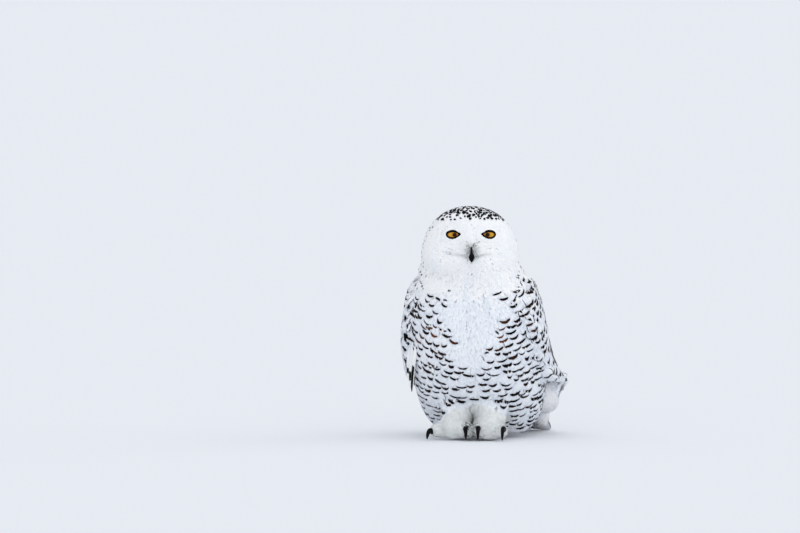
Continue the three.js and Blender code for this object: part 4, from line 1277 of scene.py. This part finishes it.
vaneFields = ["mark", "ladder", "tint"]
for wingSide in ("left", "right"):
    wingGroups, used = layWing(wingSide)
    if wingSide == "right":
        wingGroups.append(leadingVanes(used))
    pieceName = "wing_feathers_" + wingSide
    wingMesh = joinedMesh(pieceName, wingGroups, vaneFields)
    addPiece(pieceName, wingMesh, flightVane, ["wing_" + wingSide])
    wingCore(wingSide)
print("wings laid")

# Tail: two stacks that fall away from the middle pair. Its chart has u from root to end and v across.
tailForm = dict(line=[(112, 122), (205, 60), (268, 0)], rootHalf=36, spread=19)  # line is y, z down the middle
tailTiers = [dict(shape=longShape, count=6, width=28, rungs=3.6, root=((0.3, 0.3), (0.1, 0.8), (-2.5, -6.5)),
                  tip=((1.0, 1.0), (0.12, 1.12), (0.6, -8.0))),
             dict(shape=coverShape, count=5, width=26, rungs=2.2, root=((0.12, 0.1), (0.06, 0.88), (1, -1)),
                  tip=((0.7, 0.62), (0.1, 0.9), (4.6, 1.5))),
             dict(shape=coverShape, count=5, width=25, rungs=0.0, root=((-0.1, -0.1), (0.1, 0.85), (2, 0)),
                  tip=((0.46, 0.42), (0.05, 0.85), (5.6, 2.5)))]


def tailChart(u, v, h):
    line = np.array(tailForm["line"], float).T
    y, z = ((1 - u) ** 2 * a + 2 * u * (1 - u) * b + u ** 2 * c for a, b, c in line)
    slope = unit(columns(*(2 * (1 - u) * (b - a) + 2 * u * (c - b) for a, b, c in line)))
    normal = columns(0, -slope[..., 1], slope[..., 0])
    spot = columns((tailForm["rootHalf"] + tailForm["spread"] * u) * v, y, z)
    return spot + normal * (h - 6 * (1 - u) * v * v)[..., None], normal


def layTail():
    groups, used = [], 0
    for tier in tailTiers:
        for sign in (-1, 1):
            n, rungs = tier["count"], tier["rungs"]
            k = np.linspace(1, 0, n)  # the outermost first
            (u0, v0, h0), (u1, v1, h1) = (rampedEnds(tier[end], k) for end in ("root", "tip"))
            u1 = u1 + rng.normal(0, 0.006, n)
            bent = laidVanes(tailChart, tier["shape"], (u0, sign * v0, h0), (u1, sign * v1, h1 + 0.6 * sign),
                             tier["width"] * varied(n, 0.04), 0.05 * sign, rng.normal(0, 0.03, n))
            strength = np.where(rng.random(n) < 0.6, 1.0, 0.4)
            mark = columns(strength, -1.0 if rungs else 0.04, 0.84 + 0.05 * rng.random(n))
            ladder = columns(rungs, 0.1 if rungs else -1.0, rng.random(n))
            tint = columns(0.3 * rng.random(n), rng.random(n), 0)
            groups.append(vaneGroup(tier["shape"], bent, mark, ladder, tint, used, tailGrid))
            used += n
    return groups


addPiece("tail_feathers", joinedMesh("tail_feathers", layTail(), vaneFields), flightVane, ["tail"])
print("tail laid")


# Horn: bill and claws, drawn out ring by ring along a curve.
def ringStack(bm, around, count):
    rings = [bmesh.ops.create_circle(bm, cap_ends=False, segments=around, radius=1.0)["verts"]]
    edges = bm.edges[:]
    for _ in range(count - 1):
        out = bmesh.ops.extrude_edge_only(bm, edges=edges)["geom"]
        fresh = {g for g in out if isinstance(g, bmesh.types.BMVert)}
        beside = [[e.other_vert(v) for e in v.link_edges] for v in rings[-1]]
        rings.append([next(v for v in others if v in fresh) for others in beside])
        edges = [g for g in out if isinstance(g, bmesh.types.BMEdge) and all(v in fresh for v in g.verts)]
    return rings


def bezier(points):
    def at(t):
        work = np.array(points, float)
        while len(work) > 1:
            work = work[:-1] * (1 - t) + work[1:] * t
        return work[0]
    return at


def hornPiece(name, stands, line, size, up, steps, around):
    bm = bmesh.new()
    layer = bm.verts.layers.float.new("along")
    rings = ringStack(bm, around, steps + 1)
    for i, ring in enumerate(rings):
        t = i / steps
        slope = unit(line(min(t + 0.01, 1)) - line(max(t - 0.01, 0)))
        side = unit(np.cross(slope, up))
        over = np.cross(side, slope)
        wide, tall = size(t)
        for j, v in enumerate(ring):
            turn = 2 * math.pi * j / around
            v.co = toFrame(line(t) + side * wide * math.cos(turn) + over * tall * math.sin(turn))
            v[layer] = t
    bmesh.ops.contextual_create(bm, geom=rings[0])
    bmesh.ops.pointmerge(bm, verts=rings[-1], merge_co=toFrame(line(1.0)))
    bmesh.ops.recalc_face_normals(bm, faces=bm.faces)
    finer = addPiece(name, meshFrom(bm, name), horn, [stands]).modifiers.new("finer", "SUBSURF")
    finer.levels = finer.render_levels = 1


billForm = dict(upper=[(0, -58, 15), (0, -82, 19), (0, -94.5, 14), (0, -91, -4)],
                lower=[(0, -58, 6), (0, -80, 8), (0, -86.5, 1)])
billUp = headWay([0, -0.74, 0.67])  # never in line with the curve of the bill


def upperSize(t):
    wide = [3.6, 1.8, 1.7, 2.6, 4.6, 5.4, 4.4, 2.5, 0.3]
    return np.interp(t, [0, 0.3, 0.5, 0.62, 0.7, 0.8, 0.87, 0.94, 1], wide), 0.35 + 8.0 * (1 - t) ** 0.72


def lowerSize(t):
    return 0.5 + 3.4 * (1 - t) ** 0.5, 0.6 + 4.0 * (1 - t) ** 0.6


hornPiece("bill_upper_horn", "bill_upper", bezier(headPoint(billForm["upper"])), upperSize, billUp, 14, 14)
hornPiece("bill_lower_horn", "bill_lower", bezier(headPoint(billForm["lower"])), lowerSize, skyward, 8, 12)
clawForm = dict(reach=17.0, width=5.7, rise=9.0)


def clawSize(t):
    tall = 0.3 + clawForm["width"] * (1 - t) ** 0.48
    return tall * 0.86, tall


def outWay(degrees):  # a level way, 0 straight ahead of the bird
    return np.array([math.sin(math.radians(degrees)), -math.cos(math.radians(degrees)), 0])


for footSide, foot in feet.items():
    for toe, (toeTurn, reach, clawTurn, height) in foot["toes"].items():
        toeWay, way = outWay(toeTurn), outWay(clawTurn)
        start = foot["ankle"] * np.array([1, 1, 0]) + toeWay * (reach - 3) + skyward * height
        peak = start + way * clawForm["reach"] + skyward * clawForm["rise"]
        tip = (start + way * (clawForm["reach"] + 2)) * [1, 1, 0] + skyward * 0.9
        hornPiece("talon_" + footSide + "_" + toe, "claw_" + footSide + "_" + toe,
                  bezier([start, peak, tip]), clawSize, skyward, 10, 10)
print("bill and claws made")


# Eyes and lids.
def eyePiece(name, sign, node):
    centre, gaze, _, _ = eyeFrame(sign)
    turn = Vector((0, 0, 1)).rotation_difference(Vector(gaze)).to_matrix().to_4x4()
    bm = bmesh.new()
    bmesh.ops.create_uvsphere(bm, u_segments=48, v_segments=32, radius=head["eyeRadius"], matrix=turn)
    ways = unit([v.co[:] for v in bm.verts])
    polar = np.arccos(np.clip(ways @ gaze, -1, 1))
    swell = eyeForm["cornea"] * np.maximum(0.0, 1 - (polar / eyeForm["corneaSpread"]) ** 2) ** 1.5
    for v, spot in zip(bm.verts, toFrame(centre + ways * (head["eyeRadius"] - 0.25 + swell)[:, None])):
        v.co = spot
    mesh = meshFrom(bm, name)
    aside = np.round(levelled(ways, gaze), 6)  # nothing at the poles
    pointVector(mesh, "offAxis", unit(aside) * polar[:, None])
    addPiece(name, mesh, wetEye, [node])


def lidPiece(name, sign):
    centre, _, ahead, outward = eyeFrame(sign)
    bm = bmesh.new()
    # mm beyond the almond, mm from the ball's centre
    profile = [(-0.1, 14.7), (0.1, 15.2), (0.6, 15.6), (1.3, 15.7), (2.2, 15.6), (3.6, 15.3), (4.6, 13.2)]
    for (grow, reach), ring in zip(profile, ringStack(bm, 48, len(profile))):
        for j, v in enumerate(ring):
            turn = 2 * math.pi * j / 48
            x, y = almond(turn)
            inner = max(-math.cos(turn), 0.0) ** 6 * min(max(grow, 0) / 3.6, 1)
            x, y = x + (grow + 2.2 * inner) * math.cos(turn), y + grow * math.sin(turn)
            away = math.sqrt(max((reach + 2.6 * inner) ** 2 - x * x - y * y, 1.0))
            v.co = toFrame(centre + outward * x + skyward * y + ahead * away)
    bmesh.ops.bridge_loops(bm, edges=[e for e in bm.edges if e.is_boundary])
    bmesh.ops.recalc_face_normals(bm, faces=bm.faces)
    addPiece(name, meshFrom(bm, name), lidSkin, ["head"])


for sideName, sign in (("left", 1), ("right", -1)):
    eyePiece("eyeball_" + sideName, sign, "eye_" + sideName)
    lidPiece("eyelid_" + sideName, sign)
print("eyes made")

# Bristles: fine hairs that fan out over the root of the bill.
bristleCoat = dict(count=170, length=12.0, width=0.34, cover=150)
bristleShape = featherShape([(0, 0.7, 0), (0.05, 1.0, 0), (0.4, 0.8, 0), (0.75, 0.5, 0), (1.0, 0, 0)],
                            3, 12, 0.42, 0.0, 0.42)


def bristleGroup(local, bent, soot):
    corner = columns((local[:, 0] + 8) / 17, local[:, 2] / 34)
    tint = columns(0, rng.random(len(local)), soot)
    return dict(shape=bristleShape, bent=bent, corner=corner, patch=0.02, bar=(0, 0, 0), tint=tint)


def layBristles():
    n = bristleCoat["count"]
    sign = np.where(rng.random(n) < 0.5, -1.0, 1.0)
    height = rng.uniform(4, 31, n)
    inner = np.interp(height, [4, 7, 10, 14], [6.6, 6.6, 4.2, 2.6])
    local = columns(sign * (inner + 6.0 * rng.random(n)), -84.0, height)
    root, nRoot, _ = nearest(formTree, headPoint(local))
    aside, ahead = sign * (0.55 + 0.5 * rng.random(n)), -0.75 - 0.3 * rng.random(n)
    way = headWay(columns(aside, ahead, (height - 14) / 22 + rng.normal(0, 0.2, n)))
    length = bristleCoat["length"] * (0.6 + 0.55 * rng.random(n))[:, None]
    tip = root + way * length * 0.92 + headWay(columns(sign, 0.4, -0.2)) * 2.0
    bent = bendAlong(bristleShape, root - nRoot * 2, root + way * length * 0.5, tip, nRoot, nRoot,
                     np.full(n, bristleCoat["width"]))
    soot = np.where(rng.random(n) < 0.16, 0.8 + 0.2 * rng.random(n), 0.08)
    return bristleGroup(local, bent, soot)


def layBillCover():  # white bristly feathers that lie forward along the bill and hide its root
    n = bristleCoat["cover"]
    sign = np.where(rng.random(n) < 0.5, -1.0, 1.0)
    height = rng.uniform(13, 28, n)
    local = columns(sign * (1.6 + 4.2 * rng.random(n)), -84.0, height)
    root, _, _ = nearest(formTree, headPoint(local))
    way = headWay(columns(sign * (0.12 + 0.3 * rng.random(n)), -1.0, -0.1 - 0.25 * rng.random(n)))
    side = headWay(columns(sign, 0, 0.3))
    reach = way * 9.0 * (0.75 + 0.5 * rng.random(n))[:, None]
    bent = bendAlong(bristleShape, root - way * 3, root + reach * 0.5 + side * 0.8, root + reach, side, side,
                     1.5 * (0.8 + 0.4 * rng.random(n)))
    return bristleGroup(local, bent, 0.08)


bristles = joinedMesh("bristles", [layBristles(), layBillCover()], ["bar", "tint"])
addPiece("bristles", bristles, paintedLightWhite, ["head"])
print("bristles laid")


# Floor, light and camera.
def stageFloor():
    bm = bmesh.new()
    bmesh.ops.create_grid(bm, x_segments=1, y_segments=1, size=60.0)
    floor = bpy.data.objects.new("floor", meshFrom(bm, "floor"))
    bpy.context.collection.objects.link(floor)
    snow = {"Roughness": 0.9, "Specular IOR Level": 0.1, "Base Color": linear("#f6f8fc")}
    floor.data.materials.append(newMaterial("pale floor", snow)[0])


def studio():
    world = bpy.data.worlds.new("overcast sky")
    bpy.context.scene.world = world
    world.use_nodes = True
    back = world.node_tree.nodes["Background"]
    back.inputs["Color"].default_value = linear("#f0f3f8")
    back.inputs["Strength"].default_value = 0.74
    # soft daylight from above the bird's right, and the light that snowy ground throws back
    for name, energy, spread, way in (("soft_sky", 0.7, 70, (-0.25, 0.62, -0.8)),
                                      ("ground_glow", 0.3, 60, (-0.2, 0.98, -0.06)),
                                      ("back_glow", 0.4, 60, (-0.86, -0.36, -0.3))):
        sun = bpy.data.lights.new(name, "SUN")
        sun.energy, sun.angle = energy, math.radians(spread)
        holder = bpy.data.objects.new(name, sun)
        holder.rotation_euler = Vector(way).to_track_quat("-Z", "Y").to_euler()
        bpy.context.collection.objects.link(holder)


def viewCamera():
    toward, right, up = viewAxes()
    scale = view["mmPerPixel"] / 1000
    (wide, tall), (across, below) = view["picture"], view["aimPixel"]
    spot = toFrame(view["aim"]) + toward * view["distance"]
    spot = spot + right * (wide / 2 - across) * scale + up * (below - tall / 2) * scale
    camera = bpy.data.cameras.new("camera")
    camera.sensor_width = 36.0
    camera.lens = camera.sensor_width * view["distance"] / (wide * scale)
    camera.clip_end = 200.0
    holder = bpy.data.objects.new("camera", camera)
    holder.matrix_world = Matrix([*zip(right, up, toward, spot), (0, 0, 0, 1)])
    bpy.context.collection.objects.link(holder)
    bpy.context.scene.camera = holder


stageFloor()
studio()
viewCamera()
bpy.context.scene.view_settings.view_transform = "Standard"
print("stage set")
